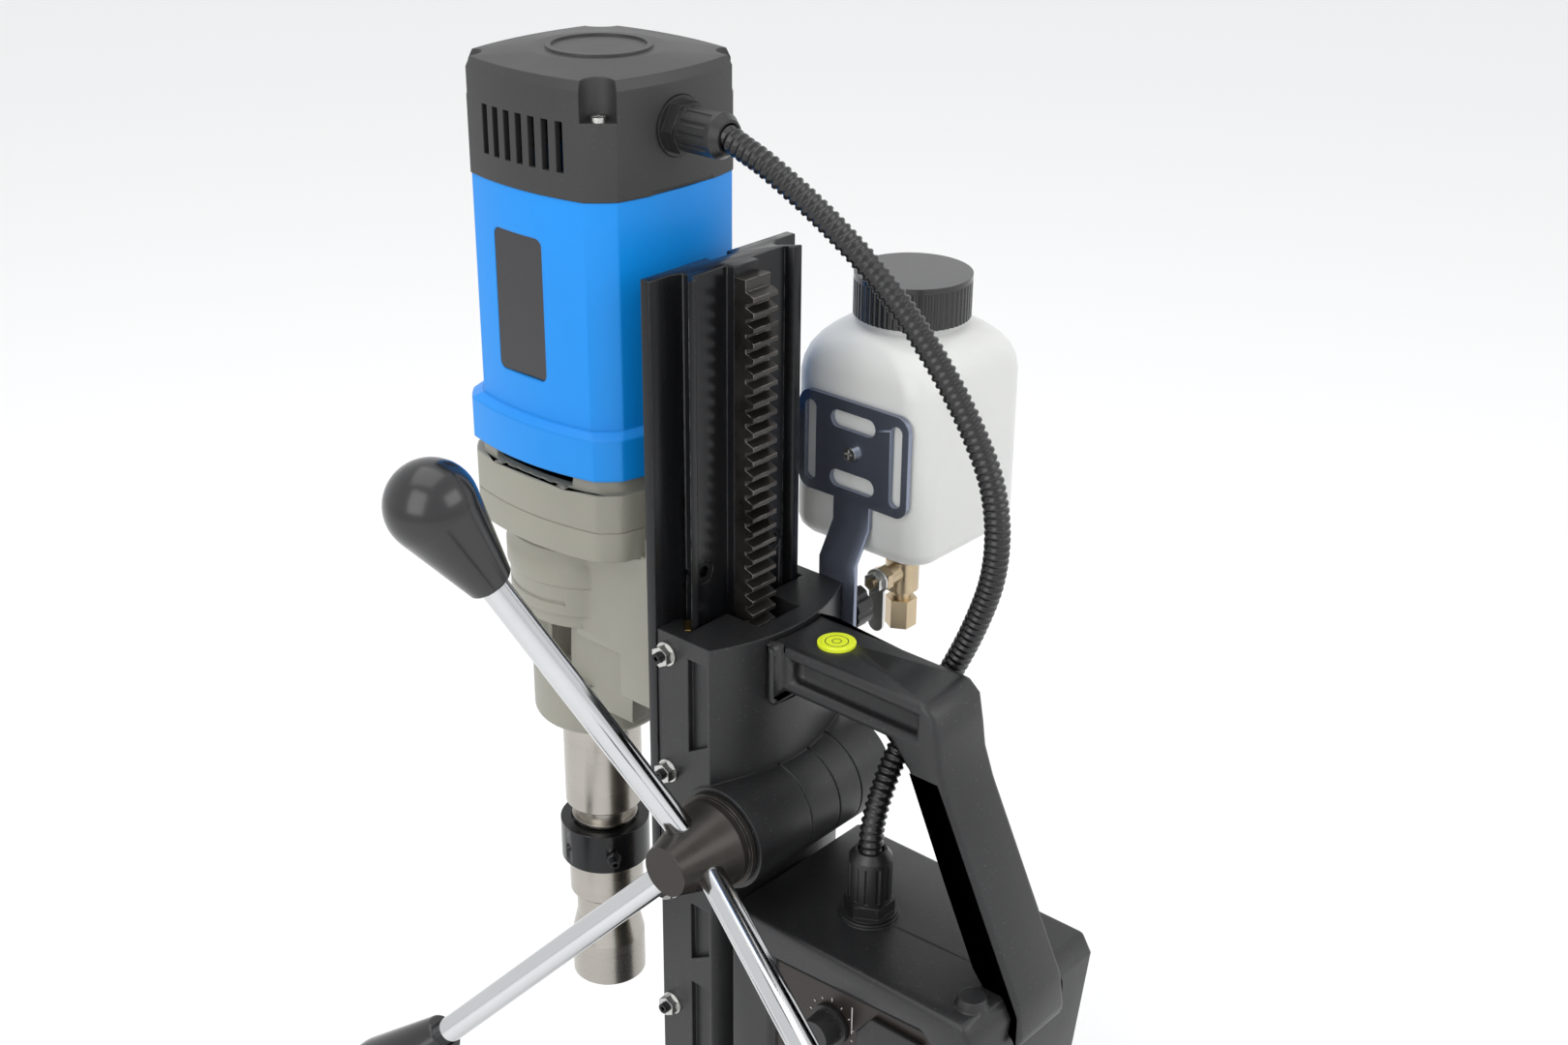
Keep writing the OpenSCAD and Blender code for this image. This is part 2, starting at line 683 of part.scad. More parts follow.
module mains_gland() {
    color([0.07, 0.07, 0.07]) translate([0, box_y1 - box_lean + 30 * box_lean / box_h + 1.5, magnet_h + 30])
        rotate([-90, 0, 0]) gland(30);
}

module motor_gland() {
    color([0.07, 0.07, 0.07]) translate([motor_gland_x, motor_back_y, motor_gland_z])
        rotate([-90, 0, 0]) gland(34);
}

function unit(v) = v / norm(v);

// a tube of n sides swept along a list of points
module swept_tube(path, r, n) {
    last = len(path) - 1;
    dirs = [for (i = [0 : last]) unit(path[min(i + 1, last)] - path[max(i - 1, 0)])];
    rings = [for (i = [0 : last])
        let (d = dirs[i], side = unit(cross(d, [1, 0.2, 0.1])), up = cross(side, d))
        for (k = [0 : n - 1]) path[i] + r * (cos(360 * k / n) * side + sin(360 * k / n) * up)];
    walls = [for (i = [0 : last - 1]) for (k = [0 : n - 1])
        [i * n + k, i * n + (k + 1) % n, (i + 1) * n + (k + 1) % n, (i + 1) * n + k]];
    ends = [[for (k = [n - 1 : -1 : 0]) k], [for (k = [0 : n - 1]) last * n + k]];
    polyhedron(rings, concat(walls, ends));
}

// one point between each pair, on a smooth curve through them
function smoother(p) = [for (i = [0 : len(p) - 2]) for (t = [0, 0.5])
    t == 0 ? p[i] : (9 * (p[i] + p[i + 1]) - p[max(i - 1, 0)] - p[min(i + 2, len(p) - 1)]) / 16];

module conduit() {
    color([0.08, 0.08, 0.08]) swept_tube(concat(smoother(CONDUIT), [CONDUIT[len(CONDUIT) - 1]]),
        conduit_r, 12);
}

// ---------------------------------------------------------------- coolant bottle

module bottle_bracket() {
    z_low = column_top - knob_drop - 12;
    z_bend = plate_z - plate_h / 2 - 5;
    color([0.1, 0.11, 0.14]) difference() {
        union() {
            translate([plate_x - strap_t, 0, 0]) rotate([90, 0, 90]) linear_extrude(strap_t)
                translate([strap_y, plate_z]) round_rect(plate_w, plate_h, 8);
            translate([0, strap_y + strap_w / 2, 0]) rotate([90, 0, 0]) linear_extrude(strap_w)
                polygon([[strap_x - 0.1, z_low], [strap_x - 0.1, z_bend - 26],
                    [plate_x, z_bend - 8], [plate_x, plate_z],
                    [plate_x - strap_t, plate_z], [plate_x - strap_t, z_bend - 7],
                    [strap_x - strap_t, z_bend - 25], [strap_x - strap_t, z_low]]);
        }
        translate([plate_x - 10, 0, 0]) rotate([90, 0, 90]) linear_extrude(20)
            translate([strap_y, plate_z]) {
                for (s = [-1, 1]) {
                    translate([s * 29, 0]) round_rect(7.5, 46, 3.7);
                    translate([0, s * 17]) round_rect(30, 10, 4.9);
                }
            }
        xcyl(2.2, plate_x - 10, plate_x + 10, strap_y, plate_z);
        xcyl(3.2, strap_x - 10, strap_x + 10, strap_y, column_top - knob_drop);
    }
}

module bottle_half(w, z0, z1, r) {
    hull() {
        translate([0, 0, z0]) linear_extrude(1) round_rect(w - 14, w - 14, r);
        translate([0, 0, z0 + 7]) linear_extrude(z1 - z0 - 30) round_rect(w, w, r + 3);
        translate([0, 0, z1 - 8]) linear_extrude(1) circle(w / 2 - 8);
        translate([0, 0, z1 - 1]) linear_extrude(1) circle(w / 2 - 17);
    }
}

module bottle() {
    color([0.93, 0.93, 0.92]) translate([bottle_x, bottle_y, 0]) difference() {
        union() {
            bottle_half(bottle_w, bottle_z0, bottle_shoulder, 12, $fn = 32);
            zcyl(bottle_cap_r - 3.5, bottle_shoulder - 2, neck_top);
            zcyl(8, bottle_z0 - 9, bottle_z0 + 3);
            xcyl(6, bottle_w / 2 - 4, bottle_w / 2, strap_y - bottle_y, plate_z);
        }
        bottle_half(bottle_w - 2 * bottle_wall, bottle_z0 + bottle_wall, bottle_shoulder - bottle_wall,
            11, $fn = 32);
        zcyl(bottle_cap_r - 3.5 - bottle_wall, bottle_shoulder - 20, bottle_shoulder + 40);
        zcyl(4, bottle_z0 - 12, bottle_z0 + 18);
    }
}

module bottle_screw() {
    color("silver") translate([plate_x, strap_y, plate_z]) rotate([0, 90, 0]) pan_screw(2.1, strap_t + 0.1);
}

module valve_body() {
    vx = bottle_x;
    vy = bottle_y;
    color("darkgoldenrod") difference() {
        union() {
            zcyl(6.5, valve_z - 8, bottle_z0 - 9.1, vx, vy);
            zcyl(9.5, valve_z - 9, valve_z + 9, vx, vy);
            xcyl(6.2, vx, vx + 16, vy, valve_z + 3);
            translate([vx + 15.9, vy, valve_z + 3]) rotate([0, 90, 0]) cylinder(r = 7.5, h = 5, $fn = 6);
            xcyl(3, vx + 16, vx + 29, vy, valve_z + 3);
            zcyl(5.5, valve_z - 15, valve_z - 8.9, vx, vy);
            translate([vx, vy, valve_z - 32]) cylinder(r = 9, h = 17.1, $fn = 6);
        }
        zcyl(3, valve_z - 40, bottle_z0, vx, vy);
    }
}

module valve_lever() {
    lx = bottle_x + 21.6;
    color("silver") difference() {
        union() {
            translate([lx, 0, 0]) rotate([90, 0, 90]) linear_extrude(1.6)
                translate([bottle_y, valve_z + 3]) {
                    circle(7);
                    translate([-5, -26]) square([10, 26]);
                    translate([0, -26]) circle(5);
                }
            translate([lx + 1.5, bottle_y, valve_z + 3]) rotate([0, 90, 0]) cylinder(r = 6, h = 4, $fn = 6);
        }
        xcyl(3 + run_gap, lx - 1, lx + 10, bottle_y, valve_z + 3);
    }
}

module bottle_cap() {
    color([0.1, 0.1, 0.1]) translate([bottle_x, bottle_y, 0]) difference() {
        zcyl(bottle_cap_r, cap_z0, cap_z1);
        zcyl(bottle_cap_r - 3.1, cap_z0 - 1, cap_z1 - 2.5);
        for (a = [0 : 6 : 354]) rotate(a) translate([bottle_cap_r + 0.5, 0, cap_z0 - 1])
            cylinder(r = 1.1, h = cap_z1 - cap_z0 - 2, $fn = 16);
    }
}

module bracket_knob() {
    kz = column_top - knob_drop;
    color([0.06, 0.06, 0.06]) difference() {
        union() {
            xcyl(12, strap_x - strap_t - 15.3, strap_x - strap_t - 3.3, strap_y, kz);
            xcyl(7, strap_x - strap_t - 3.4, strap_x - strap_t - 0.3, strap_y, kz);
            xcyl(2.4, strap_x - strap_t - 4, strap_x + 8, strap_y, kz);
        }
        for (a = [0 : 45 : 315])
            translate([strap_x - strap_t - 16, strap_y + 13.4 * cos(a), kz + 13.4 * sin(a)])
                rotate([0, 90, 0]) cylinder(r = 2.6, h = 14);
    }
}

// ---------------------------------------------------------------- slide and rack

module slide_plate() {
    color([0.13, 0.13, 0.14]) difference() {
        translate([0, flange_y, slide_z0]) linear_extrude(slide_l) difference() {
            union() {
                translate([-slide_w / 2, -flange_t]) square([slide_w, flange_t]);
                polygon(mirrored(dovetail_half()));
                translate([-rack_w / 2 - 0.1, dovetail_d - 6]) square([rack_w + 0.2, 6]);
            }
            translate([-7.5, -flange_t - 1]) square([15, 5]);
        }
        for (x = [-screw_x, screw_x], z = [pad_z0 + 15, pad_z1 - 11]) {
            ycyl(3.5, slide_y0 - 1, flange_y + dovetail_d, x, z);
            ycyl(6.1, slide_back_y - 7.5, flange_y + dovetail_d + 1, x, z);
        }
        for (i = [0 : 3]) ycyl(2.5, slide_y0, land_y + 1, 0, slide_z0 + 50 + 76 * i);
    }
}

module rack() {
    pitch = PI * rack_module;
    z1 = slide_top - 5;
    count = floor((z1 - slide_z0 - 12) / pitch);
    first = shaft_z - pitch * (floor((shaft_z - slide_z0 - 10) / pitch) - 0.5);
    tip = rack_root + 2.25 * rack_module - 0.3;
    root_half = pitch / 4 + 1.25 * rack_module * tan(20) - 0.1;
    tip_half = pitch / 4 - 0.88 * rack_module * tan(20) - 0.1;
    color([0.14, 0.14, 0.15]) difference() {
        translate([-rack_w / 2, 0, 0]) rotate([90, 0, 90]) linear_extrude(rack_w) union() {
            translate([land_y, slide_z0 + 10]) square([rack_root, z1 - slide_z0 - 10]);
            for (i = [0 : count - 1]) if (first + pitch * (i + 0.5) < z1)
                translate([land_y, first + pitch * i])
                    polygon([[rack_root - 1, -root_half], [rack_root, -root_half], [tip, -tip_half],
                        [tip, tip_half], [rack_root, root_half], [rack_root - 1, root_half]]);
        }
        for (i = [0 : 3]) ycyl(2.5, land_y - 1, land_y + 5, 0, slide_z0 + 50 + 76 * i);
    }
}

module slide_screws() {
    color([0.2, 0.2, 0.2]) {
        for (x = [-screw_x, screw_x], z = [pad_z0 + 15, pad_z1 - 11])
            translate([x, slide_back_y - 0.4, z]) rotate([-90, 0, 0]) socket_screw(3.5, 30);
        for (i = [0 : 3]) translate([0, slide_y0 + 3.95, slide_z0 + 50 + 76 * i])
            rotate([90, 0, 0]) difference() {
                union() {
                    cylinder(r = 5, h = 2.6);
                    translate([0, 0, -20]) cylinder(r = 2.5, h = 20.01);
                }
                translate([0, 0, 1]) cylinder(r = 1.8, h = 4, $fn = 6);
            }
    }
}

// ---------------------------------------------------------------- gear case

case_rc = motor_rc + 5.5;
case_hw = motor_hw + 4.5;

module gear_case() {
    color([0.6, 0.59, 0.54]) difference() {
        union() {
            motor_slab(case_rc, case_hw, case_z0, case_mid);
            zcyl(rings_r, rings_z0 + 8, case_z0 + 1, 0, spindle_y);
            zcyl(rings_r - 3, rings_z0, rings_z0 + 9, 0, spindle_y);
            zcyl(rings_r + 1.5, rings_z0 + 26, rings_z0 + 38, 0, spindle_y);
            translate([0, spindle_y, rings_z0 + 38]) cylinder(r1 = rings_r + 1.5, r2 = rings_r - 2, h = 5);
            zcyl(30, nose_z1 - 1, rings_z0 + 1, 0, spindle_y);
            translate([0, spindle_y, nose_z0]) rotate_extrude() {
                square([nose_r - 6, nose_h]);
                translate([0, 6]) square([nose_r, nose_h - 6]);
                translate([nose_r - 6, 6]) intersection() {
                    circle(6);
                    translate([0, -6]) square(6);
                }
            }
            block([-pad_w / 2, spindle_y + 20, rings_z0 - 6], [pad_w / 2, slide_y0, case_z0 + 1]);
            block([-pad_w / 2, slide_y0 - 39, pad_z0], [pad_w / 2, slide_y0, rings_z0]);
            block([-pad_w / 2, slide_y0 - 18, case_z0], [pad_w / 2, slide_y0, pad_z1]);
            for (a = [210, 270, 330]) translate([0, spindle_y, 0]) rotate(a)
                block([26, -5, nose_z1 - 1], [nose_r - 1, 5, rings_z0 + 1]);
            for (s = [-1, 1])
                block([s * 22 - 6, spindle_y + 10, nose_z1 - 12], [s * 22 + 6, slide_y0 - 38, rings_z0]);
            block([-7.3, slide_y0 - 1, pad_z0 + 2], [7.3, slide_y0 + 3.8, pad_z1 - 2]);
        }
        // gear room, layshaft and bearing seats
        motor_slab(case_rc - shell_t - 2, case_hw - shell_t - 1, case_z0 + 3, case_mid + 1);
        zcyl(rings_r - 4.5, case_z0 - 34, case_z0 + 4, 0, spindle_y);
        zcyl(6, lay_z0 - 4, case_z0, lay_x, lay_y);
        zcyl(21, rings_z0 + 7.5, rings_z0 + 26, 0, spindle_y);
        zcyl(16.5, nose_z0 - 1, rings_z0 + 20, 0, spindle_y);
        zcyl(26, nose_z0 + 7, nose_z0 + 22, 0, spindle_y);
        zcyl(spindle_r + loose_gap, nose_z0 - 1, nose_z0 + 8, 0, spindle_y);
        // windows of the neck
        for (a = [240, 300, 180, 0]) translate([0, spindle_y, 0]) rotate(a)
            block([10, -7.5, nose_z1 + 4], [44, 7.5, rings_z0 - 5]);
        // ring grooves on the front half of the case
        for (z = [rings_z0 + 15, rings_z0 + 47]) translate([0, spindle_y, z]) difference() {
            cylinder(r = rings_r + 3, h = 1.4);
            translate([0, 0, -1]) cylinder(r = rings_r - 1, h = 4);
            translate([-60, 20, -1]) cube([120, 60, 4]);
        }
        for (x = [-screw_x, screw_x], z = [pad_z0 + 15, pad_z1 - 11])
            ycyl(3.5, slide_y0 - 24, slide_y0 + 1, x, z);
        for (i = [0 : 3]) ycyl(5.4, slide_y0 - 3, slide_y0 + 5, 0, slide_z0 + 50 + 76 * i);
    }
}

module gear_case_cover() {
    tooth_y = 9.4;
    color([0.64, 0.63, 0.58]) difference() {
        union() {
            motor_slab(case_rc, case_hw, case_mid, case_top);
            motor_slab(motor_rc + 1.5, motor_hw + 0.8, case_top - 1, housing_z0);
            for (i = [-2.5 : 1 : 2.5], s = [-1, 1])
                translate([s * (case_hw - 4.6), motor_y + i * tooth_y, case_top + 1.2])
                    cube([4.6, 5.4, 4.4], center = true);
        }
        motor_slab(case_rc - shell_t - 2, case_hw - shell_t - 1, case_mid - 1, case_top - 8);
        motor_slab(motor_rc - 3.5, motor_hw - 4, case_top, housing_z0 + 1);
        for (s = [-1, 1]) translate([s * motor_hw, motor_y, case_top + 5.3])
            cube([16, 58, 9], center = true);
        block([-23, motor_y + motor_hw - 9, case_top + 0.8], [23, motor_y + case_hw, housing_z0 + 1]);
        zcyl(16, case_top - 10, case_top + 1, 0, motor_y);
        zcyl(6, case_top - 12, case_top - 4.5, lay_x, lay_y);
    }
}

// ---------------------------------------------------------------- motor

stator_z0 = housing_z0 + 38;
stator_z1 = stator_z0 + 62;
com_z0 = stator_z1 + 20;

module motor_housing() {
    flare_z1 = housing_z0 + flare_h;
    color([0.05, 0.42, 0.85]) difference() {
        union() {
            motor_slab(motor_rc, motor_hw, housing_z0, housing_z1);
            motor_slab(case_rc + 1, case_hw + 1, housing_z0, flare_z1 - 3);
            hull() {
                motor_slab(case_rc + 1, case_hw + 1, flare_z1 - 3.2, flare_z1 - 3, $fn = 48);
                motor_slab(motor_rc + 1, motor_hw + 1, flare_z1, flare_z1 + 0.5, $fn = 48);
            }
        }
        difference() {
            motor_slab(motor_rc - shell_t, motor_hw - shell_t, housing_z0 - 1, housing_z1 + 1);
            difference() {
                union() {
                    zcyl(49.5, stator_z0 - 4, stator_z1 + 4, 0, motor_y);
                    for (a = [45 : 90 : 315]) translate([0, motor_y, 0]) rotate(a)
                        block([47, -5, stator_z0 - 4], [64, 5, stator_z1 + 4]);
                    for (s = [0, 1]) mirror([s, 0, 0])
                        block([22, motor_y - 7, com_z0 + 3], [motor_hw - 2, motor_y + 7, com_z0 + 19]);
                }
                zcyl(46, stator_z0 - 5, stator_z1 + 5, 0, motor_y);
            }
        }
        // recess for the label
        translate([motor_hw - 2.4, 0, 0]) rotate([90, 0, 90]) linear_extrude(5)
            translate([motor_y - 4, housing_z0 + 83]) round_rect(35.4, 75.4, 4.2);
        for (s = [-1, 1])
            translate([s * 28, motor_y, com_z0 + 11]) cube([16, 8.4, 10.4], center = true);
    }
}

module motor_label() {
    color([0.07, 0.07, 0.07]) translate([motor_hw - 2.4, 0, 0]) rotate([90, 0, 90]) linear_extrude(1)
        translate([motor_y - 4, housing_z0 + 83]) round_rect(35, 75, 4);
}

module corner_notches(z0, z1) {
    for (a = [45 : 90 : 315])
        translate([0, motor_y, 0]) rotate(a) zcyl(9, z0, z1, motor_rc + 1, 0);
}

module motor_cap() {
    dome = 3.2;
    color([0.17, 0.17, 0.16]) difference() {
        union() {
            motor_slab(motor_rc + 0.6, motor_hw + 0.6, housing_z1, cap_top - 9);
            hull() {
                motor_slab(motor_rc + 0.6, motor_hw + 0.6, cap_top - 9.1, cap_top - 9, $fn = 48);
                motor_slab(motor_rc - 2, motor_hw - 1.6, cap_top - dome - 1.2, cap_top - dome - 1, $fn = 48);
                zcyl(34, cap_top - 1.3, cap_top - 1.2, 0, motor_y, $fn = 48);
            }
            zring(27, 24, cap_top - 3, cap_top, 0, motor_y);
        }
        difference() {
            motor_slab(motor_rc - 3, motor_hw - 3, housing_z1 - 1, cap_top - 8);
            zring(19, 16, housing_z1 + 10, cap_top, 0, motor_y);
            for (a = [45 : 90 : 315]) translate([0, motor_y, 0]) rotate(a)
                zcyl(12, housing_z1 - 1, cap_top, motor_rc + 1, 0);
        }
        zcyl(16, housing_z1 - 2, housing_z1 + 22, 0, motor_y);
        corner_notches(cap_top - 24, cap_top + 1);
        for (a = [45 : 90 : 315]) translate([0, motor_y, 0]) rotate(a)
            zcyl(2, housing_z1 - 1, cap_top, motor_rc - 3.6, 0);
        for (i = [0 : 6], s = [-1, 1])
            translate([s * motor_hw, motor_y - 24 + 8.7 * i, cap_top - 37])
                cube([16, 4.4, 25], center = true);
        translate([-22, motor_y + motor_hw - 1, housing_z1 - 1]) cube([44, 4, 2.8]);
        ycyl(8.2, motor_y + 40, motor_y + 70, motor_gland_x, motor_gland_z);
        ycyl(15.3, motor_back_y, motor_back_y + 4, motor_gland_x, motor_gland_z);
    }
}

module cap_screws() {
    color("silver") for (a = [45 : 90 : 315]) translate([0, motor_y, cap_top - 24]) rotate(a)
        translate([motor_rc - 3.6, 0, 0]) pan_screw(2, 28);
}

module stator_core() {
    color([0.45, 0.45, 0.48]) difference() {
        zcyl(46, stator_z0, stator_z1, 0, motor_y);
        zcyl(26.5, stator_z0 - 1, stator_z1 + 1, 0, motor_y);
        for (a = [0, 180]) translate([0, motor_y, 0]) rotate(a)
            block([20, -17, stator_z0 - 1], [38, 17, stator_z1 + 1]);
    }
}

module field_windings() {
    color([0.72, 0.4, 0.18]) for (a = [0, 180]) translate([0, motor_y, 0]) rotate(a) {
        block([28, -16.6, stator_z0 - 12], [37.5, 16.6, stator_z1 + 12]);
        for (z = [stator_z0 - 12, stator_z1 + 0.4])
            intersection() {
                zring(42, 29, z, z + 11.6);
                block([5, -42, z - 1], [28.1, 42, z + 13]);
            }
    }
}

module carbon_brushes() {
    color([0.2, 0.2, 0.2]) for (s = [0, 1]) mirror([s, 0, 0])
        block([17.15, motor_y - 4, com_z0 + 6], [34, motor_y + 4, com_z0 + 16]);
}

module motor_bearings() {
    color("silver") {
        bearing(16, 6 + run_gap, 10, case_top - 10, 0, motor_y);
        bearing(16, 5 + run_gap, 9, housing_z1 + 13, 0, motor_y);
    }
}

// a ball bearing: outer ring, inner ring and a shield between them
module bearing(ro, ri, h, z, x, y) {
    zring(ro, ro - 0.2 * ro, z, z + h, x, y);
    zring(ri + 0.16 * ro, ri, z, z + h, x, y);
    zring(ro - 0.2 * ro + 0.01, ri + 0.16 * ro - 0.01, z + 1, z + h - 1, x, y);
}

module spindle_bearings() {
    color("silver") {
        bearing(21, 12.5 + run_gap, 12, rings_z0 + 8, 0, spindle_y);
        bearing(26, 15 + run_gap, 15, nose_z0 + 7, 0, spindle_y);
    }
}

module coolant_ring() {
    color([0.12, 0.12, 0.12]) translate([0, spindle_y, 0]) difference() {
        zring(coolant_r, arbor_neck_r + run_gap, ring_z0, ring_z1);
        zring(arbor_neck_r + 3, arbor_neck_r - 1, ring_z0 + 9, ring_z0 + 15);
        zcyl(20, ring_z1 - 3, ring_z1 + 1);
        rotate(-10) translate([coolant_r - 7, 0, ring_z0 + 12]) rotate([0, 90, 0]) cylinder(r = 2.5, h = 12);
        rotate(55) translate([coolant_r - 12, 0, ring_z0 + 12]) rotate([0, 90, 0]) cylinder(r = 3.2, h = 20);
    }
    color("darkgoldenrod") translate([0, spindle_y, 0]) rotate(55) difference() {
        union() {
            translate([coolant_r - 8, 0, ring_z0 + 12]) rotate([0, 90, 0]) cylinder(r = 3.2, h = 12);
            translate([coolant_r + 0.2, 0, ring_z0 + 12]) rotate([0, 90, 0])
                cylinder(r = 4.6, h = 4, $fn = 6);
            translate([coolant_r + 3, 0, ring_z0 + 12]) rotate([0, 90, 0]) cylinder(r1 = 3, r2 = 2.4, h = 7);
        }
        translate([coolant_r - 10, 0, ring_z0 + 12]) rotate([0, 90, 0]) cylinder(r = 1.4, h = 24);
    }
}

// ---------------------------------------------------------------- spindle and arbor

taper_l = 66;
taper_r0 = 8.9;
taper_r1 = taper_r0 - taper_l / 40;

module spindle() {
    color([0.62, 0.6, 0.56]) translate([0, spindle_y, 0]) difference() {
        union() {
            translate([0, 0, sleeve_z0]) cylinder(r1 = spindle_r - 1.5, r2 = spindle_r, h = 1.5);
            zcyl(spindle_r, sleeve_z0 + 1.4, nose_z0 + 5);
            zcyl(17.5, nose_z0 + 4, nose_z0 + 6.8);
            zcyl(15, nose_z0 + 6.7, nose_z0 + 22);
            zcyl(14, nose_z0 + 21.9, rings_z0 + 7.9);
            zcyl(12.5, rings_z0 + 7.8, case_z0 - 2);
        }
        translate([0, 0, sleeve_z0 - 0.01]) cylinder(r1 = taper_r0, r2 = taper_r1, h = taper_l);
        zcyl(5, sleeve_z0, case_z0);
        zcyl(17.2, sleeve_z0 - 1, sleeve_z0 + 3);
    }
}

module spindle_gear() {
    color([0.5, 0.5, 0.5]) translate([0, spindle_y, coarse_z]) difference() {
        rotate(atan2(lay_y - spindle_y, lay_x) + 180 / coarse_large)
            gear(coarse_module, coarse_large, 15);
        translate([0, 0, -1]) cylinder(r = 12.5, h = 20);
    }
}

module arbor() {
    color([0.65, 0.63, 0.6]) translate([0, spindle_y, 0]) difference() {
        union() {
            translate([0, 0, sleeve_z0 + 0.1])
                cylinder(r1 = taper_r0 - 0.01, r2 = taper_r1 - 0.01, h = taper_l - 0.3);
            zcyl(arbor_neck_r, ring_z0 - 1, sleeve_z0 + 2.5);
            zring(19.4, arbor_neck_r - 1, ring_z1 + 1.6, ring_z1 + 3.4);
            zcyl(arbor_r, neck_z1 + 3, ring_z0 - 0.3);
            translate([0, 0, neck_z1]) cylinder(r1 = arbor_r - 3, r2 = arbor_r, h = 3.01);
            zcyl(arbor_r - 3.6, neck_z0 + 20, neck_z1 + 0.1);
            translate([0, 0, neck_z0 + 4]) cylinder(r1 = arbor_r, r2 = arbor_r - 3.6, h = 16.01);
            zcyl(arbor_r, arbor_z0 + 1, neck_z0 + 4.01);
            translate([0, 0, arbor_z0]) cylinder(r1 = arbor_r - 1, r2 = arbor_r, h = 1.01);
        }
        zcyl(cutter_r, arbor_z0 - 1, arbor_z0 + cutter_depth);
        zcyl(3.3, arbor_z0, ring_z0 + 12);
        xcyl(3.3, -30, 30, 0, ring_z0 + 12);
        for (a = [200, 290]) rotate(a) translate([cutter_r - 1, 0, arbor_z0 + 14]) rotate([0, 90, 0])
            cylinder(r = 4, h = 20);
    }
}

module arbor_screws() {
    color([0.15, 0.15, 0.15]) translate([0, spindle_y, 0]) for (a = [200, 290]) rotate(a)
        translate([cutter_r + 1.5, 0, arbor_z0 + 14]) rotate([0, 90, 0]) difference() {
            cylinder(r = 4, h = 9.5);
            translate([0, 0, 5]) cylinder(r = 2, h = 6, $fn = 6);
        }
}

// ---------------------------------------------------------------- gear train and armature

module layshaft() {
    color([0.55, 0.55, 0.55]) translate([lay_x, lay_y, 0]) {
        zcyl(lay_r, lay_z0, lay_z1);
        translate([0, 0, coarse_z - 1]) rotate(atan2(spindle_y - lay_y, -lay_x))
            gear(coarse_module, coarse_small, 17);
    }
    color("silver") for (z = [lay_z0, lay_z1 - 5]) zring(5.95, lay_r, z, z + 5, lay_x, lay_y);
}

module layshaft_gear() {
    color([0.5, 0.5, 0.5]) translate([lay_x, lay_y, fine_z]) difference() {
        rotate(atan2(lay_y - motor_y, lay_x) + 180 + 180 / fine_large)
            gear(fine_module, fine_large, 9);
        translate([0, 0, -1]) cylinder(r = lay_r, h = 20);
    }
}

module armature_shaft() {
    color([0.6, 0.6, 0.6]) translate([0, motor_y, 0]) {
        translate([0, 0, fine_z - 1]) rotate(atan2(lay_y - motor_y, lay_x))
            gear(fine_module, fine_small, 12);
        zcyl(2, fine_z + 8, case_top - 9);
        zcyl(6, case_top - 10, housing_z1 + 5);
        zcyl(5, housing_z1 + 4.9, housing_z1 + 22);
    }
}

module armature_core() {
    color([0.4, 0.4, 0.42]) translate([0, motor_y, 0]) difference() {
        zcyl(25.7, stator_z0, stator_z1);
        zcyl(6, stator_z0 - 1, stator_z1 + 1);
        for (a = [0 : 30 : 330]) rotate(a) block([20, -1.6, stator_z0 - 1], [27, 1.6, stator_z1 + 1]);
    }
    color([0.72, 0.4, 0.18]) for (z = [stator_z0 - 9, stator_z1]) zring(21, 6.01, z, z + 9, 0, motor_y);
}

module commutator() {
    color([0.75, 0.5, 0.3]) translate([0, motor_y, 0]) difference() {
        zcyl(17, com_z0, com_z0 + 21);
        zcyl(6, com_z0 - 1, com_z0 + 30);
        for (a = [0 : 15 : 345]) rotate(a) block([14, -0.3, com_z0 + 3], [18, 0.3, com_z0 + 30]);
    }
}

module cooling_fan() {
    z = housing_z0 + 4;
    color([0.2, 0.2, 0.2]) translate([0, motor_y, z]) {
        difference() {
            cylinder(r = 44, h = 2);
            translate([0, 0, -1]) cylinder(r = 6, h = 5);
        }
        difference() {
            cylinder(r = 11, h = 14);
            translate([0, 0, -1]) cylinder(r = 6, h = 20);
        }
        for (a = [0 : 30 : 330]) rotate(a) translate([14, 0, 1.9]) rotate(18) cube([28, 1.6, 12]);
    }
}

// ---------------------------------------------------------------- feed shaft and capstan

hub_x0 = column_w / 2 + 2.1;

module feed_shaft() {
    color([0.5, 0.5, 0.52]) translate([0, shaft_y, shaft_z]) rotate([90, 0, 90]) {
        translate([0, 0, -pinion_l / 2]) rotate(180) gear(rack_module, pinion_teeth, pinion_l, 0.9, 1.2, 4);
        translate([0, 0, -column_w / 2 - 2]) cylinder(r = shaft_r, h = column_w / 2 + hub_x0 + 16);
        translate([0, 0, -column_w / 2 - 4]) cylinder(r = 11.5, h = 2.2);
    }
}

module capstan_hub() {
    color([0.16, 0.15, 0.14]) translate([0, shaft_y, shaft_z]) rotate([90, 0, 90]) difference() {
        union() {
            translate([0, 0, hub_x0]) cylinder(r = 26, h = 3);
            translate([0, 0, hub_x0 + 2.9]) cylinder(r = 24, h = 4.1);
            translate([0, 0, hub_x0 + 6.9]) cylinder(r1 = 24, r2 = 13.6, h = 34);
        }
        translate([0, 0, hub_x0 - 1]) cylinder(r = shaft_r, h = 15);
        arm_places() translate([0, 0, 9]) cylinder(r = arm_r, h = 60);
    }
}

// the three arms' own axes, +Z along the arm, inside the hub's frame
module arm_places() {
    for (k = [0 : 2]) translate([0, 0, hub_x0 + 16]) rotate(arm_phase + 120 * k)
        rotate([0, 90 - arm_lean, 0]) children();
}

module capstan_arms() {
    color("silver") translate([0, shaft_y, shaft_z]) rotate([90, 0, 90])
        arm_places() translate([0, 0, 9]) cylinder(r = arm_r, h = arm_l + 11);
}

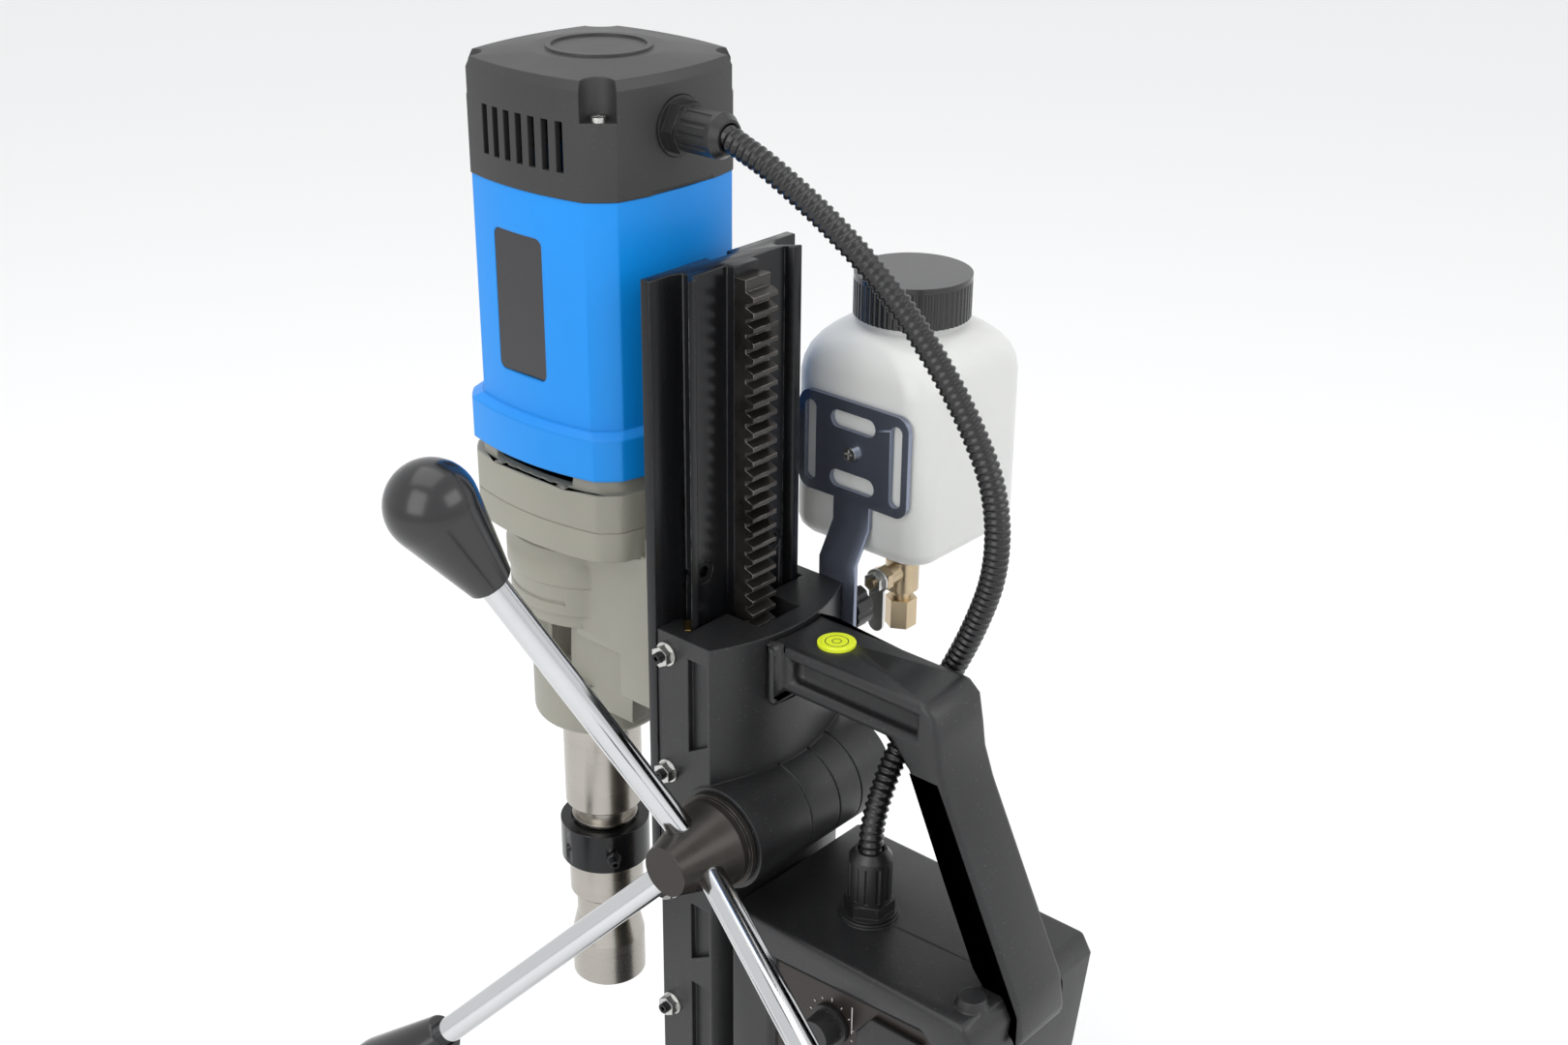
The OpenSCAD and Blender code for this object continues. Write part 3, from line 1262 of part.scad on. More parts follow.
module arm_grips() {
    neck_r = 11.5;
    s = (grip_r - neck_r) / (grip_l - grip_r);
    color([0.05, 0.05, 0.05]) translate([0, shaft_y, shaft_z]) rotate([90, 0, 90])
        arm_places() translate([0, 0, arm_l]) difference() {
            rotate_extrude() intersection() {
                square([50, 100]);
                union() {
                    polygon([[0, 0], [neck_r - 1, 0], [neck_r, 1], [grip_r * cos(atan(s)),
                        grip_l - grip_r - grip_r * sin(atan(s))], [0, grip_l - grip_r]]);
                    translate([0, grip_l - grip_r]) circle(grip_r);
                }
            }
            translate([0, 0, -1]) cylinder(r = arm_r, h = 21.05);
        }
}

// ---------------------------------------------------------------- controls

module speed_knob() {
    color([0.05, 0.05, 0.05]) difference() {
        union() {
            xcyl(11.5, panel_x + 0.4, panel_x + 3, knob_y, knob_z);
            translate([panel_x + 2.9, knob_y, knob_z]) rotate([0, 90, 0])
                cylinder(r1 = 9.5, r2 = 8.5, h = 11.5);
        }
        xcyl(3 + run_gap, panel_x - 1, panel_x + 8.2, knob_y, knob_z);
        for (a = [0 : 30 : 330]) translate([panel_x + 4, knob_y + 10 * cos(a), knob_z + 10 * sin(a)])
            rotate([0, 90, 0]) cylinder(r = 1, h = 20);
    }
}

// a rocker switch with a saddle front
module rocker(y, z) {
    translate([panel_x - 8, y - rocker_w / 2 + 0.2, z - rocker_h / 2 + 2])
        cube([9, rocker_w - 0.4, rocker_h - 4]);
    translate([panel_x, y - rocker_w / 2 + 0.2, z]) rotate([-90, 0, 0])
        linear_extrude(rocker_w - 0.4)
            polygon([[0, 12.6], [5.4, 12.6], [2.2, 0], [4, -12.6], [0, -12.6]]);
}

module motor_switch() {
    color([0.1, 0.45, 0.2]) rocker(switch_y, motor_switch_z);
}

module magnet_switch() {
    color([0.6, 0.1, 0.1]) rocker(magnet_switch_y, magnet_switch_z);
}

// ---------------------------------------------------------------- assembly

magnet_body();
magnet_coil();
magnet_potting();
magnet_bolts();
column();
gib_strips();
gib_screws();
gib_nuts();
shaft_bushes();
control_box();
box_floor();
control_panel();
switch_guard();
circuit_board();
carrying_handle();
handle_screws();
bubble_level();
box_gland();
mains_gland();
bottle_bracket();
bottle();
bottle_screw();
valve_body();
slide_plate();
rack();
slide_screws();
gear_case();
gear_case_cover();
motor_housing();
motor_cap();
cap_screws();
motor_label();
stator_core();
field_windings();
carbon_brushes();
motor_bearings();
spindle_bearings();
coolant_ring();
motor_gland();
conduit();
spindle();
spindle_gear();
arbor();
arbor_screws();
layshaft();
layshaft_gear();
armature_shaft();
armature_core();
commutator();
cooling_fan();
feed_shaft();
capstan_hub();
capstan_arms();
arm_grips();
speed_knob();
motor_switch();
magnet_switch();
bottle_cap();
bracket_knob();
valve_lever();
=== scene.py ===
import json
import math
import bmesh
import bpy
from mathutils import Matrix, Vector


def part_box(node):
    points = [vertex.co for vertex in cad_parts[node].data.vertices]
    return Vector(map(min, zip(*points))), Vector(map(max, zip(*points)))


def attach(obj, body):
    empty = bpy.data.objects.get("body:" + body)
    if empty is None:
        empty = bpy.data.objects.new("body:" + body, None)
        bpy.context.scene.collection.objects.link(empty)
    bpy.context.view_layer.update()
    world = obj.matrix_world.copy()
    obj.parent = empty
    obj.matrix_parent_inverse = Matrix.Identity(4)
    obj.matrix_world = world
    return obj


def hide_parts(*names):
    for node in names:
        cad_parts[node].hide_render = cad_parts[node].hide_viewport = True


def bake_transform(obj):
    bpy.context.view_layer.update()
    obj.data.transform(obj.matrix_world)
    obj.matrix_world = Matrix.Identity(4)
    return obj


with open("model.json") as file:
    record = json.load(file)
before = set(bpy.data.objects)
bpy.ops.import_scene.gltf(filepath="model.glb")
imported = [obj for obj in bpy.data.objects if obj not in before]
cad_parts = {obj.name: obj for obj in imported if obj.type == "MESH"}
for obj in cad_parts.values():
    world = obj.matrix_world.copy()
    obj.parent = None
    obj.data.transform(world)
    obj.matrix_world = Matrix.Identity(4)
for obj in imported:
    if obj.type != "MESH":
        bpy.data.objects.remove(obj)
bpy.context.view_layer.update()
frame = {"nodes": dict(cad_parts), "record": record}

nodes = frame["nodes"]
# ---------------------------------------------------------------- camera
# A long lens looks down on the rear right corner of the press, slightly rolled.
# Azimuth 0 would look along +Y from the front, and 90 along -X.
camera_place = Vector((0.70416, 0.54227, 0.92624))
camera_azimuth = math.radians(131.0)
camera_elevation = math.radians(25.13)
camera_roll = math.radians(0.6)
camera_lens_mm = 46.7
sensor_mm = 36.0

look = Vector((-math.sin(camera_azimuth) * math.cos(camera_elevation),
               math.cos(camera_azimuth) * math.cos(camera_elevation),
               -math.sin(camera_elevation)))
level_right = look.cross(Vector((0, 0, 1))).normalized()
level_up = level_right.cross(look)
right = level_right * math.cos(camera_roll) + level_up * math.sin(camera_roll)
up = right.cross(look)
camera_data = bpy.data.cameras.new("camera")
camera_data.lens = camera_lens_mm
camera_data.sensor_width = sensor_mm
camera_data.clip_end = 20.0
camera = bpy.data.objects.new("camera", camera_data)
camera.matrix_world = Matrix(((right.x, up.x, -look.x, camera_place.x),
                              (right.y, up.y, -look.y, camera_place.y),
                              (right.z, up.z, -look.z, camera_place.z),
                              (0, 0, 0, 1)))
bpy.context.scene.collection.objects.link(camera)
bpy.context.scene.camera = camera

# ---------------------------------------------------------------- conduit
# The motor's lead runs in a black ribbed nylon conduit. It stands straight out of the gland on the
# control box, bows round behind the column and goes into the gland on the motor cap.
conduit_route_mm = [
    (9, 0, 314), (9, 0, 326), (7, -1, 340), (0, -2, 355), (-14, -3, 374), (-27, 3, 395),
    (-35, 13, 419), (-38, 24, 447), (-38, 33, 476), (-36, 36, 504), (-33, 33, 530),
    (-29, 25, 553), (-24, 13, 577), (-18, -2, 601), (-12, -18, 622), (-6, -35, 640),
    (-2, -56, 656), (2, -80, 671), (3, -94, 677), (3, -106, 681), (3, -118, 681)]
conduit_radius = 0.0065
conduit_groove = 0.00105
rib_pitch = 0.0039
rib_profile = ((0.0, 0.0), (0.22, 1.0), (0.5, 1.0), (0.72, 0.0))
sides_round_conduit = 20
steps_between_points = 12


def smooth_route(points_mm, steps):
    """The points with a Catmull-Rom curve drawn through them, in metres."""
    points = [Vector(p) / 1000 for p in points_mm]
    points = [2 * points[0] - points[1]] + points + [2 * points[-1] - points[-2]]
    line = []
    for a, b, c, d in zip(points, points[1:], points[2:], points[3:]):
        for i in range(steps):
            t = i / steps
            line.append(0.5 * (2 * b + (c - a) * t + (2 * a - 5 * b + 4 * c - d) * t * t
                               + (3 * b - a - 3 * c + d) * t ** 3))
    line.append(points[-2])
    return line


def spaced_stations(line, gap):
    """Points and directions every gap along the line."""
    lengths = [0.0]
    for a, b in zip(line, line[1:]):
        lengths.append(lengths[-1] + (b - a).length)
    count = int(round(lengths[-1] / gap))
    stations, k = [], 0
    for i in range(count + 1):
        s = lengths[-1] * i / count
        while k < len(line) - 2 and lengths[k + 1] < s:
            k += 1
        share = (s - lengths[k]) / max(lengths[k + 1] - lengths[k], 1e-9)
        stations.append((line[k].lerp(line[k + 1], share), (line[k + 1] - line[k]).normalized()))
    return stations, lengths[-1]


def make_piece(name, mesh_maker, smooth_angle=35.0):
    """A new object from a bmesh, at the origin, with edges that turn over the angle sharp."""
    mesh_maker.normal_update()
    mesh = bpy.data.meshes.new(name)
    mesh_maker.to_mesh(mesh)
    mesh_maker.free()
    piece = bpy.data.objects.new(name, mesh)
    bpy.context.scene.collection.objects.link(piece)
    mesh.set_sharp_from_angle(angle=math.radians(smooth_angle))
    return piece


conduit_line = smooth_route(conduit_route_mm, steps_between_points)
ring_gap = rib_pitch / len(rib_profile)
conduit_stations, conduit_length = spaced_stations(conduit_line, ring_gap)
tube = bmesh.new()
turned = Vector((1, 0, 0))
ring = bmesh.ops.create_circle(tube, cap_ends=False, segments=sides_round_conduit,
                               radius=1.0)["verts"]
unit_ring = [v.co.copy() for v in ring]
edges = list(tube.edges)
for i, (place, direction) in enumerate(conduit_stations):
    if i:
        grown = bmesh.ops.extrude_edge_only(tube, edges=edges)["geom"]
        ring = [g for g in grown if isinstance(g, bmesh.types.BMVert)]
        edges = [g for g in grown if isinstance(g, bmesh.types.BMEdge)
                 and all(v in ring for v in g.verts)]
    height = rib_profile[i % len(rib_profile)][1]
    r = conduit_radius - conduit_groove * (1 - height)
    turned = (turned - direction * turned.dot(direction)).normalized()
    other = direction.cross(turned)
    if i == 0:
        ring_order = ring
    else:
        # an extruded ring keeps the order of the one before
        ring_order = [next(e.other_vert(v) for e in v.link_edges if e.other_vert(v) in ring)
                      for v in ring_order]
    for v, u in zip(ring_order, unit_ring):
        v.co = place + r * (u.x * turned + u.y * other)
bmesh.ops.holes_fill(tube, edges=[e for e in tube.edges if e.is_boundary], sides=0)
bmesh.ops.recalc_face_normals(tube, faces=tube.faces)
conduit = make_piece("conduit_ribbed", tube, 50.0)
for polygon in conduit.data.polygons:
    polygon.use_smooth = True


# Every finish starts from the same maker. It lays grain, blotches and rubbed edges over a plain
# colour, through two shared groups that read the piece's own object coordinates.
def new_group(name, inputs, outputs):
    group = bpy.data.node_groups.new(name, "ShaderNodeTree")
    for label, kind, value in inputs:
        socket = group.interface.new_socket(name=label, in_out="INPUT", socket_type=kind)
        if value is not None:
            socket.default_value = value
    for label, kind in outputs:
        group.interface.new_socket(name=label, in_out="OUTPUT", socket_type=kind)
    return group, group.nodes.new("NodeGroupInput"), group.nodes.new("NodeGroupOutput")


def maths(tree, operation, a, b=None, clamp=False):
    node = tree.nodes.new("ShaderNodeMath")
    node.operation = operation
    node.use_clamp = clamp
    for socket, value in zip(node.inputs, (a, b)):
        if value is None:
            continue
        if hasattr(value, "is_output"):
            tree.links.new(value, socket)
        else:
            socket.default_value = value
    return node.outputs[0]


edges_group, edges_in, edges_out = new_group(
    "rubbed_edges",
    [("Vector", "NodeSocketVector", None), ("Radius", "NodeSocketFloat", 0.001),
     ("Wear", "NodeSocketFloat", 0.5), ("Breakup", "NodeSocketFloat", 160.0)],
    [("Normal", "NodeSocketVector"), ("Rubbed", "NodeSocketFloat")])
rounded = edges_group.nodes.new("ShaderNodeBevel")
rounded.samples = 4
edges_group.links.new(edges_in.outputs["Radius"], rounded.inputs["Radius"])
true_surface = edges_group.nodes.new("ShaderNodeNewGeometry")
turn_between = edges_group.nodes.new("ShaderNodeVectorMath")
turn_between.operation = "DOT_PRODUCT"
edges_group.links.new(rounded.outputs[0], turn_between.inputs[0])
edges_group.links.new(true_surface.outputs["Normal"], turn_between.inputs[1])
corner = maths(edges_group, "SUBTRACT", 1.0, turn_between.outputs["Value"], True)
chips = edges_group.nodes.new("ShaderNodeTexNoise")
chips.inputs["Detail"].default_value = 5.0
edges_group.links.new(edges_in.outputs["Vector"], chips.inputs["Vector"])
edges_group.links.new(edges_in.outputs["Breakup"], chips.inputs["Scale"])
patchy = maths(edges_group, "SUBTRACT", chips.outputs[0], 0.46)
patchy = maths(edges_group, "MULTIPLY", patchy, 9.0, True)
rubbed = maths(edges_group, "MULTIPLY", maths(edges_group, "MULTIPLY", corner, 6.0), patchy)
rubbed = maths(edges_group, "MULTIPLY", rubbed, edges_in.outputs["Wear"], True)
edges_group.links.new(rounded.outputs[0], edges_out.inputs["Normal"])
edges_group.links.new(rubbed, edges_out.inputs["Rubbed"])

grain_group, grain_in, grain_out = new_group(
    "surface_grain",
    [("Vector", "NodeSocketVector", None), ("Grain Scale", "NodeSocketFloat", 900.0),
     ("Blotch Scale", "NodeSocketFloat", 14.0)],
    [("Height", "NodeSocketFloat"), ("Blotch", "NodeSocketFloat"), ("Speck", "NodeSocketFloat")])
for label, scale_name, detail in (("Height", "Grain Scale", 3.0), ("Blotch", "Blotch Scale", 6.0)):
    cloud = grain_group.nodes.new("ShaderNodeTexNoise")
    cloud.inputs["Detail"].default_value = detail
    cloud.inputs["Roughness"].default_value = 0.62
    grain_group.links.new(grain_in.outputs["Vector"], cloud.inputs["Vector"])
    grain_group.links.new(grain_in.outputs[scale_name], cloud.inputs["Scale"])
    grain_group.links.new(cloud.outputs[0], grain_out.inputs[label])
specks = grain_group.nodes.new("ShaderNodeTexNoise")
specks.inputs["Scale"].default_value = 700.0
specks.inputs["Detail"].default_value = 2.0
grain_group.links.new(grain_in.outputs["Vector"], specks.inputs["Vector"])
dust = maths(grain_group, "SUBTRACT", specks.outputs[0], 0.66)
grain_group.links.new(maths(grain_group, "MULTIPLY", dust, 12.0, True), grain_out.inputs["Speck"])


def finish(name, colour, rough, metal=0.0, shade=0.7, spread=0.12, grain=900.0, depth=0.06,
           blotch=14.0, edge=0.0008, wear=0.0, worn=(0.5, 0.5, 0.5), stretch=(1, 1, 1),
           coat=0.0, specular=0.5, speck=0.0):
    """A finish: colour blotched down to shade of itself, roughness within spread of rough, a fine
    grain of the given depth in mm, and edges rounded to the edge radius and rubbed to worn."""
    material = bpy.data.materials.new(name)
    material.use_nodes = True
    tree = material.node_tree
    shader = tree.nodes["Principled BSDF"]
    shader.inputs["Metallic"].default_value = metal
    shader.inputs["Coat Weight"].default_value = coat
    shader.inputs["Coat Roughness"].default_value = 0.15
    shader.inputs["Specular IOR Level"].default_value = specular
    place = tree.nodes.new("ShaderNodeTexCoord")
    mapping = tree.nodes.new("ShaderNodeMapping")
    mapping.inputs["Scale"].default_value = stretch
    tree.links.new(place.outputs["Object"], mapping.inputs["Vector"])
    grains = tree.nodes.new("ShaderNodeGroup")
    grains.node_tree = grain_group
    grains.inputs["Grain Scale"].default_value = grain
    grains.inputs["Blotch Scale"].default_value = blotch
    tree.links.new(mapping.outputs[0], grains.inputs["Vector"])
    rubbing = tree.nodes.new("ShaderNodeGroup")
    rubbing.node_tree = edges_group
    rubbing.inputs["Radius"].default_value = edge
    rubbing.inputs["Wear"].default_value = wear
    tree.links.new(place.outputs["Object"], rubbing.inputs["Vector"])
    tint = tree.nodes.new("ShaderNodeMix")
    tint.data_type = "RGBA"
    tint.inputs["A"].default_value = (*[c * shade for c in colour], 1)
    tint.inputs["B"].default_value = (*colour, 1)
    spreading = tree.nodes.new("ShaderNodeMapRange")
    spreading.inputs["From Min"].default_value = 0.32
    spreading.inputs["From Max"].default_value = 0.68
    tree.links.new(grains.outputs["Blotch"], spreading.inputs["Value"])
    tree.links.new(spreading.outputs[0], tint.inputs["Factor"])
    dusty = tree.nodes.new("ShaderNodeMix")
    dusty.data_type = "RGBA"
    dusty.inputs["B"].default_value = (0.45, 0.45, 0.44, 1)
    tree.links.new(maths(tree, "MULTIPLY", grains.outputs["Speck"], speck), dusty.inputs["Factor"])
    tree.links.new(tint.outputs["Result"], dusty.inputs["A"])
    edge_tint = tree.nodes.new("ShaderNodeMix")
    edge_tint.data_type = "RGBA"
    edge_tint.inputs["B"].default_value = (*worn, 1)
    tree.links.new(rubbing.outputs["Rubbed"], edge_tint.inputs["Factor"])
    tree.links.new(dusty.outputs["Result"], edge_tint.inputs["A"])
    tree.links.new(edge_tint.outputs["Result"], shader.inputs["Base Color"])
    sheen = tree.nodes.new("ShaderNodeMapRange")
    sheen.inputs["From Min"].default_value = 0.3
    sheen.inputs["From Max"].default_value = 0.7
    sheen.inputs["To Min"].default_value = max(rough - spread, 0.03)
    sheen.inputs["To Max"].default_value = min(rough + spread, 1.0)
    tree.links.new(grains.outputs["Blotch"], sheen.inputs["Value"])
    tree.links.new(sheen.outputs[0], shader.inputs["Roughness"])
    bump = tree.nodes.new("ShaderNodeBump")
    bump.inputs["Strength"].default_value = 0.6
    bump.inputs["Distance"].default_value = depth / 1000
    tree.links.new(grains.outputs["Height"], bump.inputs["Height"])
    tree.links.new(rubbing.outputs["Normal"], bump.inputs["Normal"])
    tree.links.new(bump.outputs[0], shader.inputs["Normal"])
    return material


def paint(material, *names):
    """Gives CAD nodes this finish."""
    for name in names:
        nodes[name].material_slots[0].material = material


conduit_nylon = finish("conduit_nylon", (0.01, 0.01, 0.011), 0.25, shade=0.85, spread=0.04,
                       grain=600, depth=0.008, edge=0.0003, speck=0.05)
conduit.data.materials.append(conduit_nylon)
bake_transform(conduit)
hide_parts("conduit")

# ---------------------------------------------------------------- magnet
# The electromagnet is a block of mild steel with a coil potted into its underside. The block is
# painted satin black, and its ground face shows bright only underneath. Six bolts hold the rest.
magnet_paint = finish("magnet_paint", (0.016, 0.017, 0.019), 0.4, shade=0.8, grain=700, depth=0.08,
                      edge=0.0012, wear=0.25, worn=(0.16, 0.16, 0.16), speck=0.12)
copper_wire = finish("copper_wire", (0.62, 0.25, 0.1), 0.3, metal=1.0, shade=0.7, grain=2200,
                     stretch=(1, 1, 8), depth=0.3)
potting_resin = finish("potting_resin", (0.012, 0.012, 0.013), 0.5, grain=300, depth=0.2)
black_steel = finish("black_steel", (0.035, 0.035, 0.037), 0.34, metal=0.9, shade=0.6, spread=0.1,
                     grain=1500, depth=0.02, edge=0.0003, wear=0.3, worn=(0.3, 0.3, 0.3))


body_of_node = {node: body for body, members in frame["record"]["behaviour"]["bodies"].items()
                for node in members}


def long_sharp_edges(shell, angle, least):
    """Edges that turn by more than the angle and are long enough to carry a rounding."""
    return [e for e in shell.edges if len(e.link_faces) == 2 and e.calc_length() > least
            and e.calc_face_angle(0.0) > math.radians(angle)]


def soft_copy(node_name, material, radius, least=0.003):
    """A copy of a CAD node with its long edges rounded to the radius, standing in for that node.
    A merged face round a hollow can be filled straight across it."""
    shell = bmesh.new()
    shell.from_mesh(nodes[node_name].data)
    bmesh.ops.remove_doubles(shell, verts=shell.verts, dist=5e-6)
    bmesh.ops.dissolve_limit(shell, angle_limit=math.radians(0.6), verts=shell.verts,
                             edges=shell.edges)
    bmesh.ops.bevel(shell, geom=long_sharp_edges(shell, 40.0, least), offset=radius,
                    offset_type="OFFSET", segments=3, profile=0.5, affect="EDGES",
                    clamp_overlap=False, material=-1)
    for face in shell.faces:
        face.smooth = True
        face.material_index = 0
    piece = make_piece(f"{node_name}_cast", shell, 32.0)
    piece.data.materials.append(material)
    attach(piece, body_of_node[node_name])
    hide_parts(node_name)
    return piece


soft_copy("magnet_body", magnet_paint, 0.0018)
paint(copper_wire, "magnet_coil", "field_windings")
paint(potting_resin, "magnet_potting")
paint(black_steel, "magnet_bolts")

# ---------------------------------------------------------------- column
# The column is an aluminium casting with a machined dovetail way up its front. It is coated satin
# black all over, with soft edges, shallow side pockets and a boss for the feed shaft.
casting_black = finish("casting_black", (0.0135, 0.0138, 0.0148), 0.38, shade=0.75, spread=0.07,
                       grain=520, depth=0.1, edge=0.0012, wear=0.1, worn=(0.09, 0.09, 0.095),
                       speck=0.08)
machined_black = finish("machined_black", (0.0095, 0.01, 0.0115), 0.24, metal=0.35, shade=0.7,
                        spread=0.1, grain=260, stretch=(6, 6, 0.5), depth=0.015, edge=0.0005,
                        wear=0.4, worn=(0.22, 0.22, 0.23))
paint(casting_black, "column")
gib_brass = finish("gib_brass", (0.55, 0.38, 0.13), 0.32, metal=1.0, grain=400, stretch=(4, 4, 0.4),
                   depth=0.02)
bush_bronze = finish("bush_bronze", (0.42, 0.25, 0.12), 0.4, metal=1.0, grain=900, depth=0.05)
zinc_steel = finish("zinc_steel", (0.62, 0.62, 0.6), 0.24, metal=1.0, shade=0.75, spread=0.09,
                    grain=1500, depth=0.02, edge=0.0004)
paint(gib_brass, "gib_strips")
paint(bush_bronze, "shaft_bushes")
paint(black_steel, "gib_screws")
paint(zinc_steel, "gib_nuts")

# ---------------------------------------------------------------- control box
# The control box is a second black casting, closed below by a steel plate. A dark anodised panel is
# let into its right side, with a speed knob, a rocker under a raised guard and a second rocker.
soft_copy("control_box", casting_black, 0.0026)
paint(black_steel, "box_floor")
panel_anodised = finish("panel_anodised", (0.03, 0.024, 0.021), 0.3, metal=0.4, shade=0.75,
                        grain=300, stretch=(1, 0.4, 8), depth=0.01, edge=0.0003)
moulded_black = finish("moulded_black", (0.014, 0.014, 0.015), 0.42, shade=0.8, grain=900,
                       depth=0.05, edge=0.0005, speck=0.06)
rocker_green = finish("rocker_green", (0.01, 0.16, 0.05), 0.28, grain=1200, depth=0.01, edge=0.0008)
rocker_red = finish("rocker_red", (0.4, 0.015, 0.012), 0.28, grain=1200, depth=0.01, edge=0.0008)
board_mask = finish("board_mask", (0.01, 0.12, 0.04), 0.3, grain=500, depth=0.05)
paint(panel_anodised, "control_panel")
soft_copy("switch_guard", moulded_black, 0.0008)
paint(moulded_black, "speed_knob")
paint(board_mask, "circuit_board")
paint(rocker_green, "motor_switch")
paint(rocker_red, "magnet_switch")

panel_print = finish("panel_print", (0.72, 0.72, 0.7), 0.5, grain=1500, depth=0.01)
panel_face_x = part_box("control_panel")[1].x
print_height = 0.00012


def printed_bar(name, y, z, width, height, turn=0.0, x=None, body="frame"):
    """A flat bar of white print on a face that looks along +X."""
    bar = bmesh.new()
    bmesh.ops.create_cube(bar, size=1.0, matrix=Matrix.Diagonal((print_height, width, height, 1)))
    corners = [e for e in bar.edges if abs((e.verts[0].co - e.verts[1].co).x) > 1e-6]
    bmesh.ops.bevel(bar, geom=corners, offset=min(width, height) * 0.35, segments=2, profile=0.5,
                    affect="EDGES", material=-1)
    bmesh.ops.rotate(bar, verts=bar.verts, cent=(0, 0, 0), matrix=Matrix.Rotation(turn, 3, "X"))
    bmesh.ops.translate(bar, verts=bar.verts,
                        vec=((panel_face_x if x is None else x) + print_height / 2, y, z))
    piece = make_piece(name, bar)
    piece.data.materials.append(panel_print)
    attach(piece, body)
    return piece


divider_y, divider_z = 0.0224, 0.2525
divider_width, divider_height = 0.0007, 0.017
printed_bar("panel_divider", divider_y, divider_z, divider_width, divider_height)

# The knob's scale sweeps 270 degrees, open at the bottom, and its end and middle ticks are long.
knob_centre = (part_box("speed_knob")[0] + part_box("speed_knob")[1]) / 2
tick_count, tick_sweep = 11, 270
tick_ring, tick_width, tick_short, tick_long = 0.0142, 0.0006, 0.0015, 0.0024
long_tick_outset = 0.0006
for i in range(tick_count):
    is_long = i % 5 == 0
    angle = math.radians(tick_sweep / 2 - tick_sweep / (tick_count - 1) * i)
    reach = tick_ring + (long_tick_outset if is_long else 0.0)
    printed_bar(f"knob_tick_{i:02d}", knob_centre.y + reach * math.sin(angle),
                knob_centre.z + reach * math.cos(angle), tick_width,
                tick_long if is_long else tick_short, turn=-angle)

# Each rocker carries the usual plain bar for on, at the upper end of its face.
on_bar_rise, on_bar_width, on_bar_height, on_bar_depth = 0.0075, 0.0009, 0.005, 0.0022
for node_name in ("motor_switch", "magnet_switch"):
    low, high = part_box(node_name)
    middle = (low + high) / 2
    printed_bar(f"{node_name}_on", middle.y, middle.z + on_bar_rise, on_bar_width, on_bar_height,
                x=high.x - on_bar_depth, body=f"{node_name}_body")

# ---------------------------------------------------------------- carrying handle
# The handle is cast with the same coat. Its bar runs back from the column's top and its leg comes
# down to the box's rear edge. A round bubble level is let into the top, and screws hold the foot.
soft_copy("carrying_handle", casting_black, 0.0034)
paint(black_steel, "handle_screws")
level_acrylic_painted_glow = finish("level_acrylic_painted_glow", (0.68, 0.76, 0.03), 0.12, shade=0.85, spread=0.05, grain=60,
                       depth=0.01, coat=0.8, edge=0.0004)
# The level's yellow-green acrylic is also given a faint emission. This is a painted glow: the level
# is no lamp.
shader = level_acrylic_painted_glow.node_tree.nodes["Principled BSDF"]
shader.inputs["Emission Color"].default_value = (0.6, 0.85, 0.02, 1)
shader.inputs["Emission Strength"].default_value = 0.12
paint(level_acrylic_painted_glow, "bubble_level")
level_low, level_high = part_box("bubble_level")
level_middle = (level_low + level_high) / 2
level_ring_print = finish("level_ring_print", (0.03, 0.05, 0.02), 0.3, grain=900, depth=0.005)
level_line_width, level_line_height = 0.0005, 0.00008
for name, radius in (("level_circle_outer", 0.0062), ("level_circle_inner", 0.0026)):
    circle = bmesh.new()
    bmesh.ops.create_circle(circle, segments=48, radius=radius)
    section = bmesh.ops.extrude_edge_only(circle, edges=circle.edges)["geom"]
    inner = [g for g in section if isinstance(g, bmesh.types.BMVert)]
    bmesh.ops.scale(circle, verts=inner, vec=((radius - level_line_width) / radius,) * 2 + (1,))
    bmesh.ops.translate(circle, verts=circle.verts,
                        vec=(level_middle.x, level_middle.y, level_high.z - 0.00002))
    ring_piece = make_piece(name, circle)
    thick = ring_piece.modifiers.new("thickness", "SOLIDIFY")
    thick.thickness = level_line_height
    thick.offset = 0.0
    ring_piece.data.materials.append(level_ring_print)
    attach(ring_piece, "frame")

# ---------------------------------------------------------------- glands
# Two black nylon glands clamp the conduit's ends, and a third is for a mains lead. Each has a
# hexagon body, a fluted dome nut and a seal ring against the casting.
gland_nylon = finish("gland_nylon", (0.012, 0.012, 0.0125), 0.33, shade=0.8, grain=1000, depth=0.02,
                     edge=0.0005, speck=0.05)
paint(gland_nylon, "box_gland", "mains_gland", "motor_gland")

# ---------------------------------------------------------------- bottle and bracket
# The coolant bottle is blown from milky plastic, square with round corners, about 1.6 mm thick. Its
# bracket is a bent strap and a slotted plate of dark polished stainless steel.
# The bracket's steel is dark. Its blue tint and lightened, partly diffuse colour are painted
# reflection of the blue motor and of brighter surroundings.
dark_steel_painted_reflection = finish("dark_steel_painted_reflection", (0.25, 0.28, 0.36), 0.24, metal=0.85, shade=0.9, spread=0.03,
                      grain=200, depth=0.004, blotch=8, edge=0.0004)
soft_copy("bottle_bracket", dark_steel_painted_reflection, 0.0005)
paint(zinc_steel, "bottle_screw")
valve_nickel = finish("valve_nickel", (0.56, 0.45, 0.3), 0.28, metal=1.0, shade=0.7, spread=0.1,
                      grain=700, depth=0.03, edge=0.0005, wear=0.8, worn=(0.6, 0.42, 0.18))
paint(valve_nickel, "valve_body")
paint(zinc_steel, "valve_lever")
paint(moulded_black, "bracket_knob")
cap_moulding = finish("cap_moulding", (0.0125, 0.0125, 0.0135), 0.26, shade=0.85, spread=0.05,
                      grain=500, depth=0.03, edge=0.0006, coat=0.2)
paint(cap_moulding, "bottle_cap")
bottle_plastic = finish("bottle_plastic", (0.68, 0.675, 0.64), 0.34, shade=0.97, spread=0.05,
                        grain=90, depth=0.05, blotch=20, edge=0.001)
